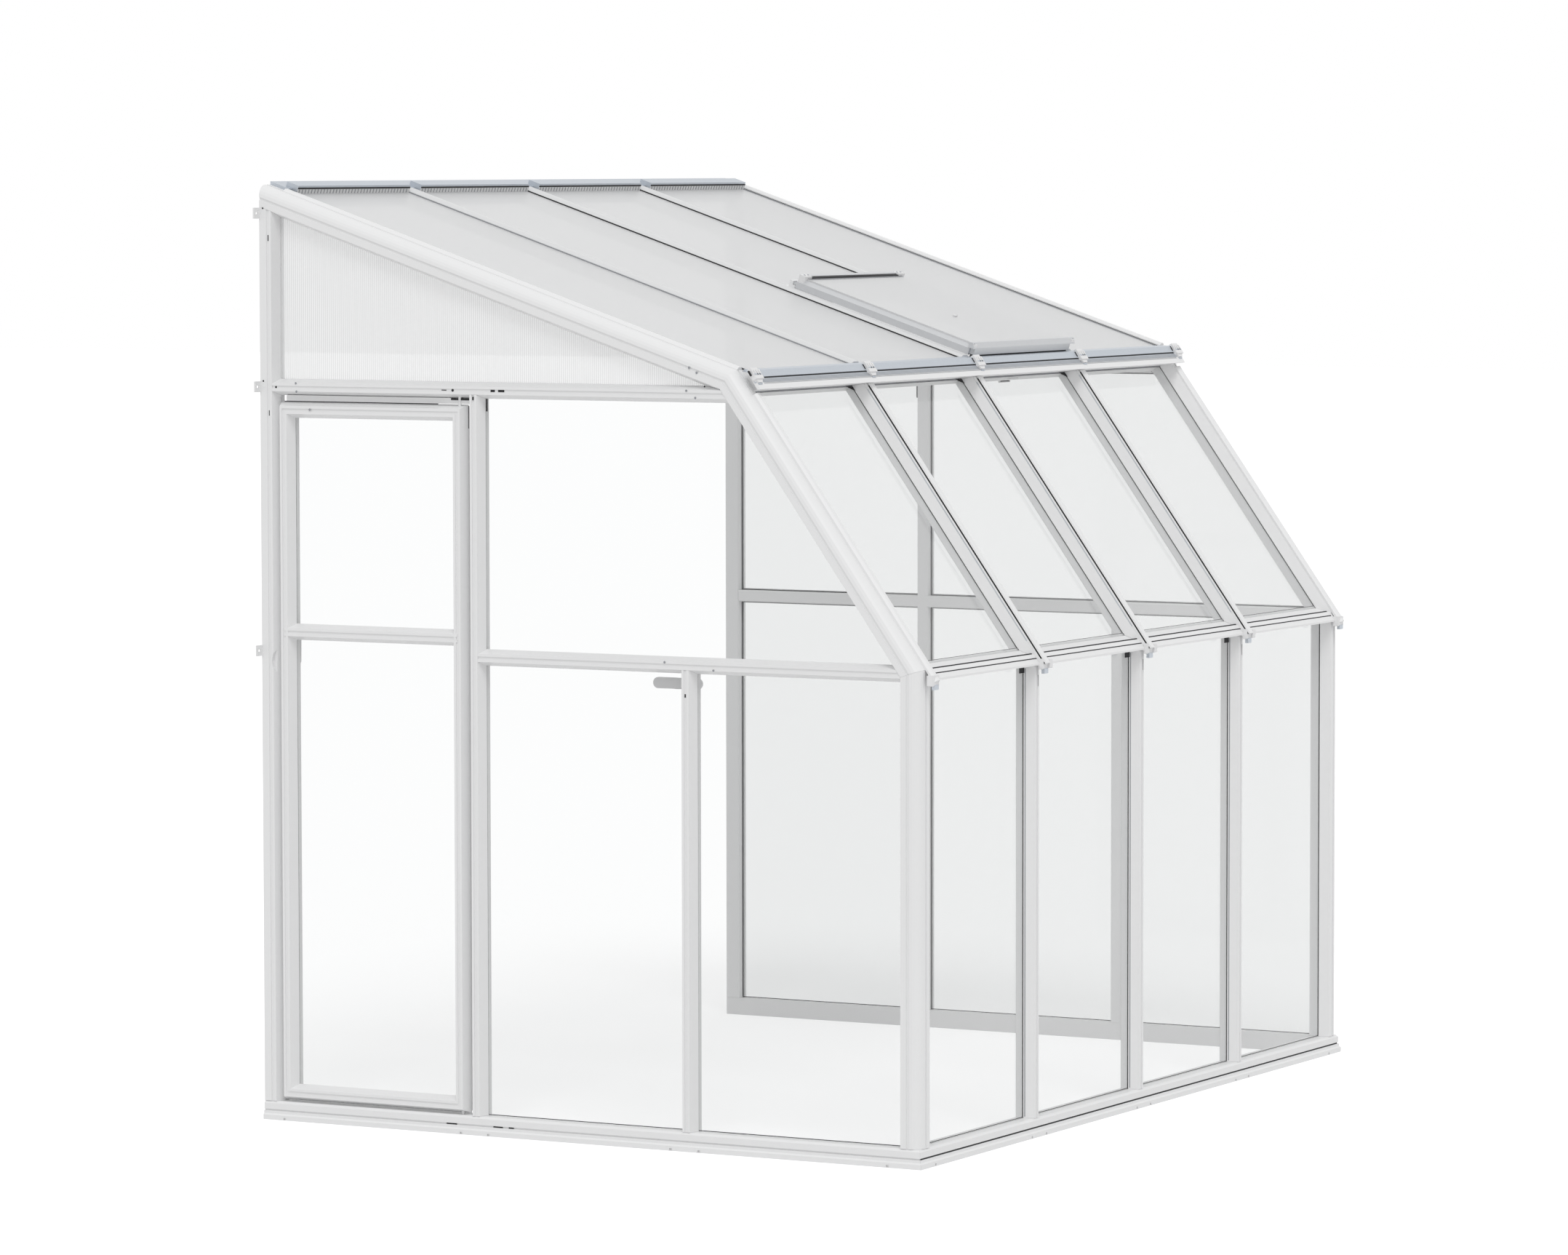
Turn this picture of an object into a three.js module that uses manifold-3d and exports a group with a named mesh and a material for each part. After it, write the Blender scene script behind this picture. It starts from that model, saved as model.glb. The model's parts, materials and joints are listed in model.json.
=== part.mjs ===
// Lean-to greenhouse, in millimetres, +Z up. X runs along the house wall, the wall side is +Y,
// the gable with the door is at -X and the low glazed front is at -Y.
import * as THREE from "three";
import { mergeVertices } from "three/addons/utils/BufferGeometryUtils.js";
import Module from "manifold-3d";

const wasm = await Module();
wasm.setup();

// Overall size
const BAY = 635.5; // distance between post lines, in the front and in the gables
const FRONT_BAYS = 4;
const SIDE_BAYS = 3;
const FRONT_INSET = 33; // from a gable's outer face to the front's first post line
const SIDE_INSET = 47; // from the front's outer face to a gable's first post line
const WALL_MARGIN = 25.5; // from the wall posts' middle to the wall
const EAVE_Z = 1273;
const KINK_Y = 544;
const KINK_Z = 2026;
const RIDGE_Z = 2501;
const GAP = 0.3; // between pieces that touch
const OVERRUN = 20; // how far a cutter passes what it cuts

const LENGTH = FRONT_BAYS * BAY + 2 * FRONT_INSET;
const DEPTH = SIDE_BAYS * BAY + SIDE_INSET + WALL_MARGIN;
const HALF = LENGTH / 2;

// Sections: a hood outside, a pocket for the pane and a narrower body inside
const PROFILE = {
  face: 43.4, strip: 21, hood: 29, groove: 8, grooveDeep: 2.5, web: 14, body: 34, deep: 57, ease: 3,
};
const EDGE = { face: 55.7, flank: 11.2, round: 30, grooveMiddle: 35.3, steps: 6, pocket: 56, body: 62 };
const PANE = 4; // clear panes and twin-wall panels alike
const PANE_PLAY = 4; // from a pane's edge to the web beside it
const HEAD_DROP = 63; // from the kink down to the head rail's middle
const MID_RAIL_Z = 1262;
const PANEL_IN = 1; // from the roof's outline to the top of its panels

const SILL = { skirt: 8, high: 50, skirtTop: 13, stepIn: 4, grooveLow: 24, groove: 4, grooveIn: 5, edgeHigh: 44 };
const NOTCH = { side: 42, wide: 8, high: 7 };
const RAFTER = { rise: 12, tip: 40, face: 46, strip: 24, crown: 6, roofRise: 8, roofDeep: 50 };
const SLOPE_BAR = { rise: 14, tip: 37, slotAt: 4, slot: 4, slotDeep: 4, lineAt: 12, line: 3, lineDeep: 1 };
const EAVE = {
  down: 31, nose: 14, noseLip: 3, frontIn: 4, lip: 2, lipEnd: 2, slotDeep: 14, slot: 6, bead: 13, foot: 32, stop: 24,
  reach: 40,
};
const KINK = { below: 79, paneUp: 30, out: 28, back: 24, upperOut: 30, start: 5, top: 2, whiteFace: 20, sheet: 5 };
const CHANNEL = { grooveAt: 33, groove: 3, grooveDeep: 3, upperOut: 2 };
const RIDGE = { deep: 60, wallHigh: 62, capOver: 16, capBack: 22, capTop: 21, capInset: 6, capSink: 4 };
const EAR = { wide: 31, high: 29, thick: 4, root: 10, slotWide: 12, slotHigh: 6, out: 17 };
const EAR_DROPS = [76, 537, 1241]; // from the ridge down to each wall-fixing ear

const DOOR = {
  hingeGap: 8, freeGap: 2.1, topGap: 16.5, sillGap: 3.6, midZ: 1311,
  pivotIn: 20, pin: 4, pinDepth: 12, pinClearance: 0.3,
};
const RECESS = { radius: 53, sagitta: 16, deep: 12, z: 1232 };
const LATCH = { length: 70, wide: 24, thick: 8, hub: 11, z: 1232, clear: 1.5 };
const LEVER = { reach: 115, wide: 29, thick: 9, hubThick: 5, hubReach: 60, drop: 51 };
const VENT = {
  low: 3, long: 566, rail: 24, sideIn: 18, high: 28, shoulder: 18, ease: 16, bead: 4, beadGap: 8, beadHigh: 10, web: 4,
  endGap: 3,
};
const VENT_BAR = { thick: 14, low: 3, step: 19, edge: 3, over: 4, lean: 7, crest: 4, top: 5, tail: 1, lip: 6, out: 12, in: 6 };
const VENT_CAP = { wall: 2, deep: 14, gap: 4, thick: 2 };
const TRIMMER = { gap: 4, wide: 40, lipBack: 10, lipHigh: 6, top: 2 };
const STAY = { length: 250, wide: 10, thick: 4, pin: 3, clearance: 0.3, hole: 2.5, holes: 4, in: 10, up: 10, earLong: 18 };
const STAY_BAY_SHARE = 0.5;
const PEG = { wide: 64, out: 22, high: 6, root: 8, lip: 4, lipDown: 11 };
const PEG_SHARE = 0.23; // up the purlin's inner face
const ROUND_STEPS = 20;

// Lines of the outline in the YZ plane
function lineOf(start, end) {
  const length = Math.hypot(end[0] - start[0], end[1] - start[1]);
  const along = [(end[0] - start[0]) / length, (end[1] - start[1]) / length];
  return { start, along, inward: [along[1], -along[0]], length };
}

// The point s along a line and depth inwards from it
function at(line, s, depth) {
  return [0, 1].map((i) => line.start[i] + line.along[i] * s + line.inward[i] * depth);
}

// The point of a line, moved inwards by depth, that has this y
function atY(line, y, depth) {
  return at(line, (y - line.start[0] - line.inward[0] * depth) / line.along[0], depth);
}

// How a corner between two lines moves for each unit of depth
function mitre(first, second) {
  const dot = first.inward[0] * second.inward[0] + first.inward[1] * second.inward[1];
  return [0, 1].map((i) => (first.inward[i] + second.inward[i]) / (1 + dot));
}

function moved(point, direction, distance) {
  return [0, 1].map((i) => point[i] + direction[i] * distance);
}

const front = lineOf([0, 0], [0, EAVE_Z]);
const slope = lineOf([0, EAVE_Z], [KINK_Y, KINK_Z]);
const roof = lineOf([KINK_Y, KINK_Z], [DEPTH, RIDGE_Z]);
const eaveMitre = mitre(front, slope);
const kinkMitre = mitre(slope, roof);

const pocket = PANE + 2 * GAP;
const paneIn = PROFILE.hood + GAP + PANE / 2;
const paneEdge = PROFILE.web / 2 + PANE_PLAY;
const ridgeStart = roof.length - RIDGE.deep;
const slopeTop = slope.length - KINK.below;
const paneTop = slopeTop + KINK.paneUp; // at the panes' depth
const headZ = KINK_Z - HEAD_DROP;
const mullionY = SIDE_INSET + BAY;
const jambY = SIDE_INSET + 2 * BAY;
const wallPostY = SIDE_INSET + SIDE_BAYS * BAY;
const eaveLow = EAVE_Z - EAVE.down;

// The frame's own origin is the middle of its footprint
const frontReach = -at(slope, -RAFTER.tip, -RAFTER.rise)[0];
const greenhouse = new THREE.Group();
greenhouse.position.set(0, -(DEPTH - frontReach) / 2, 0);

const whiteFrame = new THREE.MeshStandardMaterial({ color: 0xeeeff0, roughness: 0.35, metalness: 0 });
const clearPane = new THREE.MeshStandardMaterial({
  color: 0xe4ecee, roughness: 0.08, metalness: 0, transparent: true, opacity: 0.25,
});
const twinPanel = new THREE.MeshStandardMaterial({
  color: 0xe2e5e7, roughness: 0.4, metalness: 0, transparent: true, opacity: 0.75,
});
const aluminium = new THREE.MeshStandardMaterial({ color: 0xc5ccd4, roughness: 0.35, metalness: 0.8 });

// Joins and cuts
function solidOf(geometry) {
  const bare = geometry.clone();
  bare.deleteAttribute("normal");
  bare.deleteAttribute("uv");
  const merged = mergeVertices(bare);
  const triVerts = new Uint32Array(merged.index.array);
  const vertProperties = merged.attributes.position.array;
  return new wasm.Manifold(new wasm.Mesh({ numProp: 3, vertProperties, triVerts }));
}

function geometryOf(solid) {
  const mesh = solid.getMesh();
  const geometry = new THREE.BufferGeometry();
  geometry.setAttribute("position", new THREE.BufferAttribute(mesh.vertProperties, 3));
  geometry.setIndex(new THREE.BufferAttribute(mesh.triVerts, 1));
  geometry.computeVertexNormals();
  return geometry;
}

function place(name, solid, material) {
  const mesh = new THREE.Mesh(geometryOf(solid), material);
  mesh.name = name;
  greenhouse.add(mesh);
}

// Straight solids from an outline
function extruded(outline, first, second, third, from, to) {
  const shape = new THREE.Shape(outline.map(([a, b]) => new THREE.Vector2(a, b)));
  const geometry = new THREE.ExtrudeGeometry(shape, { depth: to - from, bevelEnabled: false });
  geometry.translate(0, 0, from);
  geometry.applyMatrix4(new THREE.Matrix4().makeBasis(first, second, third));
  return solidOf(geometry);
}

const X = new THREE.Vector3(1, 0, 0);
const Y = new THREE.Vector3(0, 1, 0);
const Z = new THREE.Vector3(0, 0, 1);

// An outline of (y, z) points carried along X
function alongX(outline, from, to) {
  return extruded(outline, Y, Z, X, from, to);
}

// An outline of (x, z) points carried along Y
function alongY(outline, from, to) {
  return extruded(outline.map(([x, z]) => [z, x]), Z, X, Y, from, to);
}

// An outline of (x, y) points carried along Z
function alongZ(outline, from, to) {
  return extruded(outline, X, Y, Z, from, to);
}

function rectangle(low, high) {
  return [[low[0], low[1]], [high[0], low[1]], [high[0], high[1]], [low[0], high[1]]];
}

function circle(centre, radius) {
  const points = [];
  for (let step = 0; step < ROUND_STEPS; step++) {
    const turn = (2 * Math.PI * step) / ROUND_STEPS;
    points.push([centre[0] + radius * Math.cos(turn), centre[1] + radius * Math.sin(turn)]);
  }
  return points;
}

// A bar with two round ends between two centres of one height
function pill(from, to, radius) {
  const points = [];
  for (let step = 0; step <= ROUND_STEPS; step++) {
    const turn = (2 * Math.PI * step) / ROUND_STEPS - Math.PI / 2;
    const centre = Math.cos(turn) > 0 ? to : from;
    points.push([centre[0] + radius * Math.cos(turn), centre[1] + radius * Math.sin(turn)]);
  }
  return points.slice(0, ROUND_STEPS);
}

// A solid with the same section at each stop; each stop turns (u, v) into a point
function swept(section, stops, closed = false) {
  const count = section.length;
  const corners = stops.flatMap((stop) => section.map(([u, v]) => stop(u, v)));
  const faces = [];
  const spans = closed ? stops.length : stops.length - 1;
  for (let span = 0; span < spans; span++) {
    const here = span * count;
    const next = ((span + 1) % stops.length) * count;
    for (let i = 0; i < count; i++) {
      const j = (i + 1) % count;
      faces.push([here + i, here + j, next + j], [here + i, next + j, next + i]);
    }
  }
  if (!closed) {
    const last = (stops.length - 1) * count;
    const outline = section.map(([u, v]) => new THREE.Vector2(u, v));
    const turned = Math.sign(THREE.ShapeUtils.area(outline));
    for (const face of THREE.ShapeUtils.triangulateShape(outline, [])) {
      const same = Math.sign(THREE.ShapeUtils.area(face.map((i) => outline[i]))) === turned;
      const [a, b, c] = same ? face : [face[0], face[2], face[1]];
      faces.push([c, b, a], [last + a, last + b, last + c]);
    }
  }
  const volume = faces.reduce((sum, [a, b, c]) => sum + corners[a].dot(corners[b].clone().cross(corners[c])), 0);
  const outward = volume > 0 ? faces : faces.map(([a, b, c]) => [c, b, a]);
  const geometry = new THREE.BufferGeometry();
  const positions = outward.flatMap((face) => face.flatMap((i) => corners[i].toArray()));
  geometry.setAttribute("position", new THREE.Float32BufferAttribute(positions, 3));
  return solidOf(geometry);
}

// An outline whose other half mirrors the given points
function mirrored(points) {
  return [...points, ...points.map(([u, v]) => [-u, v]).reverse()];
}

const half = PROFILE.face / 2;
const strip = PROFILE.strip / 2;
const groove = PROFILE.groove / 2;
const web = PROFILE.web / 2;
const body = PROFILE.body / 2;
const bodyTop = PROFILE.hood + pocket;

// Section of posts and rails, with a groove along the middle of the hood
const barHalf = [
  [groove, PROFILE.grooveDeep], [groove, 0], [strip, 0], [half, PROFILE.hood], [web, PROFILE.hood],
  [web, bodyTop], [body, bodyTop], [body, PROFILE.deep - PROFILE.ease], [body - PROFILE.ease, PROFILE.deep],
];
const barSection = mirrored(barHalf);

// The same section without its groove and grown by the gap, to cut what meets it
const barKeep = mirrored([
  [strip + GAP, -OVERRUN], [strip + GAP, 0], [half + GAP, PROFILE.hood], [half + GAP, bodyTop],
  [body + GAP, bodyTop], [body + GAP, PROFILE.deep + OVERRUN],
]);

// Wall posts have a flat side against the wall
const wallSection = [
  [WALL_MARGIN, PROFILE.deep], [WALL_MARGIN, 0], ...barHalf.slice(0, 2).reverse(),
  ...barHalf.map(([u, v]) => [-u, v]),
];

// Section of the rounded corner posts and edge rafters, in depths from the gable's and front's faces
function edgeSection() {
  const low = EDGE.grooveMiddle - groove;
  const high = EDGE.grooveMiddle + groove;
  const side = [
    [EDGE.body, bodyTop], [EDGE.pocket, bodyTop], [EDGE.pocket, PROFILE.hood],
    [EDGE.face + EDGE.flank, PROFILE.hood], [EDGE.face, 0], [high, 0], [high, PROFILE.grooveDeep],
    [low, PROFILE.grooveDeep], [low, 0],
  ];
  const round = [];
  for (let step = 0; step <= EDGE.steps; step++) {
    const turn = (step / EDGE.steps) * (Math.PI / 2);
    round.push([EDGE.round * (1 - Math.sin(turn)), EDGE.round * (1 - Math.cos(turn))]);
  }
  return [[EDGE.body, EDGE.body], ...side, ...round, ...side.map(([u, v]) => [v, u]).reverse()];
}

const edgeReach = EDGE.face + EDGE.flank + GAP;
const edgeKeep = [
  [-OVERRUN, -OVERRUN], [EDGE.face + GAP, -OVERRUN], [EDGE.face + GAP, 0], [edgeReach, PROFILE.hood],
  [edgeReach, EDGE.body + GAP], [EDGE.body + GAP, edgeReach], [PROFILE.hood, edgeReach],
  [0, EDGE.face + GAP], [-OVERRUN, EDGE.face + GAP],
];

// Gable places: side is -1 at the door gable and 1 at the far gable
function gableX(side, v) {
  return side * (HALF - v);
}

function gablePost(side, y, low, high, section = barSection) {
  return alongZ(section.map(([u, v]) => [gableX(side, v), y + u]), low, high);
}

function gableRail(side, z, from, to, section = barSection) {
  return alongY(section.map(([u, v]) => [gableX(side, v), z + u]), from, to);
}

// A plate in a gable, given by its corners, at the panes' depth
function gablePlate(side, low, high) {
  const faces = [gableX(side, paneIn + PANE / 2), gableX(side, paneIn - PANE / 2)].sort((a, b) => a - b);
  return alongX(rectangle(low, high), ...faces);
}

// The line of a corner post and its edge rafter, and all that they keep free beside them
function edgeStop(side, point, direction) {
  return (u, v) => new THREE.Vector3(gableX(side, u), ...moved(point, direction, v));
}

const wallCut = [0, -1 / roof.along[0]];
const keepFree = [-1, 1].map((side) => swept(edgeKeep, [
  edgeStop(side, [0, -OVERRUN], [1, 0]),
  edgeStop(side, slope.start, eaveMitre),
  edgeStop(side, roof.start, kinkMitre),
  edgeStop(side, atY(roof, DEPTH + OVERRUN, 0), wallCut),
]));

function besideEdges(solid) {
  return solid.subtract(keepFree[0]).subtract(keepFree[1]);
}

// A bar along the whole front, from one gable's edge to the other's
function betweenEdges(outline) {
  return besideEdges(alongX(outline, EDGE.round - HALF, HALF - EDGE.round));
}

// Where a gable's panes end, in the pockets of the corner post and edge rafter
const paneReach = EDGE.pocket + GAP;
const paneRoom = alongX(
  [
    [paneReach, -OVERRUN],
    moved(slope.start, eaveMitre, paneReach),
    moved(roof.start, kinkMitre, paneReach),
    atY(roof, DEPTH, paneReach),
    [DEPTH, -OVERRUN],
  ],
  -LENGTH,
  LENGTH,
);

const lineX = (line) => -HALF + FRONT_INSET + line * BAY;
const sillTop = SILL.high + GAP;

// Sill: a skirt, a dark groove and a flat top, mitred at the two front corners
const sillSection = [
  [-SILL.skirt, 0], [-SILL.skirt, SILL.skirtTop], [-SILL.stepIn, SILL.skirtTop + SILL.stepIn],
  [-SILL.stepIn, SILL.grooveLow], [SILL.grooveIn - SILL.stepIn, SILL.grooveLow],
  [SILL.grooveIn - SILL.stepIn, SILL.grooveLow + SILL.groove],
  [-SILL.stepIn / 2, SILL.grooveLow + SILL.groove], [-SILL.stepIn / 2, SILL.edgeHigh],
  [SILL.stepIn, SILL.high], [PROFILE.deep, SILL.high], [PROFILE.deep, 0],
];

function notchSides(lines, line) {
  if (line === 0) return [1];
  return line === lines ? [-1] : [-1, 1];
}

function makeFrontSill() {
  let sill = swept(sillSection, [
    (v, z) => new THREE.Vector3(-HALF + v + GAP / 2, v, z),
    (v, z) => new THREE.Vector3(HALF - v - GAP / 2, v, z),
  ]);
  for (let line = 0; line <= FRONT_BAYS; line++) {
    for (const side of notchSides(FRONT_BAYS, line)) {
      const x = lineX(line) + side * NOTCH.side;
      const low = [-SILL.skirt - OVERRUN, -OVERRUN];
      const high = [-SILL.stepIn, NOTCH.high];
      sill = sill.subtract(alongX(rectangle(low, high), x - NOTCH.wide / 2, x + NOTCH.wide / 2));
    }
  }
  return sill;
}

function makeGableSill(side) {
  let sill = swept(sillSection, [
    (v, z) => new THREE.Vector3(gableX(side, v), v + GAP / 2, z),
    (v, z) => new THREE.Vector3(gableX(side, v), DEPTH, z),
  ]);
  for (let line = 0; line <= SIDE_BAYS; line++) {
    for (const turn of notchSides(SIDE_BAYS, line)) {
      const y = SIDE_INSET + line * BAY + turn * NOTCH.side;
      const ends = [gableX(side, -SILL.skirt - OVERRUN), gableX(side, -SILL.stepIn)].sort((a, b) => a - b);
      const cutter = rectangle([ends[0], -OVERRUN], [ends[1], NOTCH.high]);
      sill = sill.subtract(alongY(cutter, y - NOTCH.wide / 2, y + NOTCH.wide / 2));
    }
  }
  return sill;
}

const hingeY = jambY + PROFILE.face + DOOR.hingeGap;
const freeY = wallPostY - PROFILE.face - DOOR.freeGap;
const doorLow = SILL.high + DOOR.sillGap + half;
const doorHigh = headZ - PROFILE.face - DOOR.topGap;
const pivotX = gableX(-1, DOOR.pivotIn);
const pivotHole = circle([pivotX, hingeY], DOOR.pin + DOOR.pinClearance);
const pinLow = SILL.high - DOOR.pinDepth;
const pinHigh = headZ - strip + DOOR.pinDepth;

place("sill_front", makeFrontSill(), whiteFrame);
const pinSocket = alongZ(pivotHole, pinLow - GAP, SILL.high + OVERRUN);
place("sill_door_gable", makeGableSill(-1).subtract(pinSocket), whiteFrame);
place("sill_far_gable", makeGableSill(1), whiteFrame);

// Glazing cap on an edge rafter, beside its round
function edgeCap(rise, depth) {
  const middle = (EDGE.round + EDGE.face) / 2;
  const wide = (EDGE.face - EDGE.round) / 2;
  return [
    [middle - wide, depth], [middle - wide, RAFTER.crown - rise], [middle - wide / 2, -rise],
    [middle + wide / 2, -rise], [middle + wide, RAFTER.crown - rise], [middle + wide, depth],
  ];
}

// Corner posts and edge rafters
const ends = [["near", -1], ["far", 1]];
for (const [end, side] of ends) {
  const post = swept(edgeSection(), [
    edgeStop(side, [0, sillTop], [1, 0]),
    edgeStop(side, [0, EAVE_Z - GAP], eaveMitre),
  ]);
  place(`corner_post_${end}`, post, whiteFrame);
  const rafter = swept(edgeSection(), [
    edgeStop(side, slope.start, eaveMitre),
    edgeStop(side, roof.start, kinkMitre),
    edgeStop(side, [DEPTH, RIDGE_Z], wallCut),
  ]);
  const onSlope = (s) => (u, v) => new THREE.Vector3(gableX(side, u), ...at(slope, s, v));
  const onRoof = (s) => (u, v) => new THREE.Vector3(gableX(side, u), ...at(roof, s, v));
  const capDepth = PROFILE.ease;
  const slopeCap = swept(edgeCap(RAFTER.rise, capDepth), [onSlope(capDepth), onSlope(slopeTop)]);
  const tipCap = swept(edgeCap(RAFTER.rise, -GAP), [onSlope(-RAFTER.tip), onSlope(capDepth + GAP)]);
  const roofCap = swept(edgeCap(RAFTER.roofRise, capDepth), [onRoof(0), onRoof(ridgeStart)]);
  place(`edge_rafter_${end}`, rafter.add(slopeCap).add(tipCap).add(roofCap), whiteFrame);
}

// Section of the slope rafters, with a dark slot and a fine line along each flank, in depths from the slope's outline
const flankAt = (drop) => strip + ((half - strip) * drop) / (PROFILE.hood + SLOPE_BAR.rise);
const flankPoint = (drop, into) => [flankAt(drop) - into, drop - SLOPE_BAR.rise];
const slopeSection = mirrored([
  flankPoint(0, 0),
  flankPoint(SLOPE_BAR.slotAt, 0), flankPoint(SLOPE_BAR.slotAt, SLOPE_BAR.slotDeep),
  flankPoint(SLOPE_BAR.slotAt + SLOPE_BAR.slot, SLOPE_BAR.slotDeep), flankPoint(SLOPE_BAR.slotAt + SLOPE_BAR.slot, 0),
  flankPoint(SLOPE_BAR.lineAt, 0), flankPoint(SLOPE_BAR.lineAt, SLOPE_BAR.lineDeep),
  flankPoint(SLOPE_BAR.lineAt + SLOPE_BAR.line, SLOPE_BAR.lineDeep), flankPoint(SLOPE_BAR.lineAt + SLOPE_BAR.line, 0),
  ...barHalf.slice(barHalf.length - 6),
]);

// Front posts, slope rafters and roof rafters
const roofBar = mirrored([
  [RAFTER.strip / 2, 0], [RAFTER.face / 2, RAFTER.crown], [RAFTER.face / 2, RAFTER.roofDeep],
]);
for (let line = 1; line < FRONT_BAYS; line++) {
  const x = lineX(line);
  const postSection = barSection.map(([u, v]) => [x + u, v]);
  place(`front_post_${line}`, alongZ(postSection, sillTop, eaveLow - GAP), whiteFrame);

  const slopeStop = (s) => (u, v) => new THREE.Vector3(x + u, ...at(slope, s, v));
  const eaveNotch = [
    at(slope, -RAFTER.tip - OVERRUN, EAVE.lip - GAP),
    at(slope, EAVE.lipEnd + GAP, EAVE.lip - GAP),
    at(slope, EAVE.lipEnd + GAP, EAVE.bead - 2 * GAP),
    at(slope, EAVE.lipEnd + EAVE.slot, EAVE.bead - 2 * GAP),
    at(slope, EAVE.foot, PROFILE.hood - 2 * GAP),
    at(slope, EAVE.reach + GAP, PROFILE.hood - 2 * GAP),
    at(slope, EAVE.reach + GAP, PROFILE.deep + OVERRUN),
    at(slope, -RAFTER.tip - OVERRUN, PROFILE.deep + OVERRUN),
  ];
  const purlinNotch = [
    at(slope, slopeTop - 2 * GAP, -KINK.out), at(slope, paneTop - 2 * GAP, PROFILE.hood),
    at(slope, slope.length, PROFILE.hood), at(slope, slope.length, -KINK.out),
  ];
  const slopeRafter = swept(slopeSection, [slopeStop(-SLOPE_BAR.tip), slopeStop(paneTop - GAP)])
    .subtract(alongX(eaveNotch, x - BAY / 2, x + BAY / 2))
    .subtract(alongX(purlinNotch, x - BAY / 2, x + BAY / 2));
  place(`slope_rafter_${line}`, slopeRafter, whiteFrame);

  const roofStop = (s) => (u, v) => new THREE.Vector3(x + u, ...at(roof, s, v - RAFTER.roofRise));
  const roofRafter = swept(roofBar, [roofStop(-KINK.start + GAP), roofStop(ridgeStart - GAP)]);
  place(`roof_rafter_${line}`, roofRafter, whiteFrame);
}

// Eave rail: front posts stand under it and the slope's panes rest on it
const eaveBack = (PROFILE.deep - at(slope, EAVE.reach, 0)[0]) / slope.inward[0];
const eaveSection = [
  [EAVE.frontIn, eaveLow], [-EAVE.nose, eaveLow + EAVE.noseLip], atY(slope, -EAVE.nose, EAVE.lip),
  at(slope, EAVE.lipEnd, EAVE.lip), at(slope, EAVE.lipEnd, EAVE.lip + EAVE.slotDeep),
  at(slope, EAVE.lipEnd + EAVE.slot, EAVE.lip + EAVE.slotDeep), at(slope, EAVE.lipEnd + EAVE.slot, EAVE.bead),
  at(slope, EAVE.foot, PROFILE.hood), at(slope, EAVE.stop, PROFILE.hood), at(slope, EAVE.stop, bodyTop),
  at(slope, EAVE.reach, bodyTop), at(slope, EAVE.reach, eaveBack), [PROFILE.deep, eaveLow],
];
place("eave_rail", betweenEdges(eaveSection), whiteFrame);

// Kink purlin and the aluminium channel over its outer face
const kinkLow = at(slope, slopeTop, -KINK.out);
const kinkHigh = at(slope, slope.length - KINK.back, -KINK.upperOut);
const kinkFace = lineOf(kinkLow, kinkHigh);
const kinkTop = lineOf(kinkHigh, at(roof, -KINK.start, -KINK.top));
const channelMitre = mitre(kinkFace, kinkTop);
const purlinSection = [
  at(slope, paneTop, PROFILE.deep), at(slope, paneTop, PROFILE.hood), kinkLow, at(kinkFace, KINK.whiteFace, 0),
  at(kinkFace, KINK.whiteFace, KINK.sheet), moved(kinkHigh, channelMitre, KINK.sheet),
  at(roof, -KINK.start, KINK.sheet - KINK.top), at(roof, -KINK.start, RAFTER.roofDeep - RAFTER.roofRise),
];
const channelIn = KINK.sheet - GAP;
const channelLow = KINK.whiteFace + GAP;
const channelSection = [
  at(kinkFace, channelLow, channelIn), at(kinkFace, channelLow, 0), at(kinkFace, CHANNEL.grooveAt, 0),
  at(kinkFace, CHANNEL.grooveAt, CHANNEL.grooveDeep),
  at(kinkFace, CHANNEL.grooveAt + CHANNEL.groove, CHANNEL.grooveDeep),
  at(kinkFace, CHANNEL.grooveAt + CHANNEL.groove, -CHANNEL.upperOut),
  moved(kinkHigh, channelMitre, -CHANNEL.upperOut), at(roof, -KINK.start, -KINK.top - CHANNEL.upperOut),
  at(roof, -KINK.start, channelIn - KINK.top), moved(kinkHigh, channelMitre, channelIn),
];

// The vent lies over the lower half of the third bay
const ventBay = FRONT_BAYS - 2;
const ventLeft = lineX(ventBay) + VENT.sideIn;
const ventRight = lineX(ventBay + 1) - VENT.sideIn;
const stayX = lineX(ventBay) + BAY * STAY_BAY_SHARE;
const pegEdges = [purlinSection[0], purlinSection[purlinSection.length - 1]];
const pegBase = [0, 1].map((i) => pegEdges[0][i] + (pegEdges[1][i] - pegEdges[0][i]) * PEG_SHARE);
const pegEnd = pegBase[0] + PEG.out;
const pegUnder = pegBase[1] - PEG.high / 2;
const pegSection = [
  [pegBase[0] - PEG.root, pegUnder], [pegEnd - PEG.lip, pegUnder], [pegEnd - PEG.lip, pegUnder - PEG.lipDown],
  [pegEnd, pegUnder - PEG.lipDown], [pegEnd, pegBase[1] + PEG.high / 2],
  [pegBase[0] - PEG.root, pegBase[1] + PEG.high / 2],
];
const peg = alongX(pegSection, stayX - PEG.wide / 2, stayX + PEG.wide / 2);
place("kink_purlin", betweenEdges(purlinSection).add(peg), whiteFrame);
place("kink_channel", betweenEdges(channelSection), aluminium);

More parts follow.
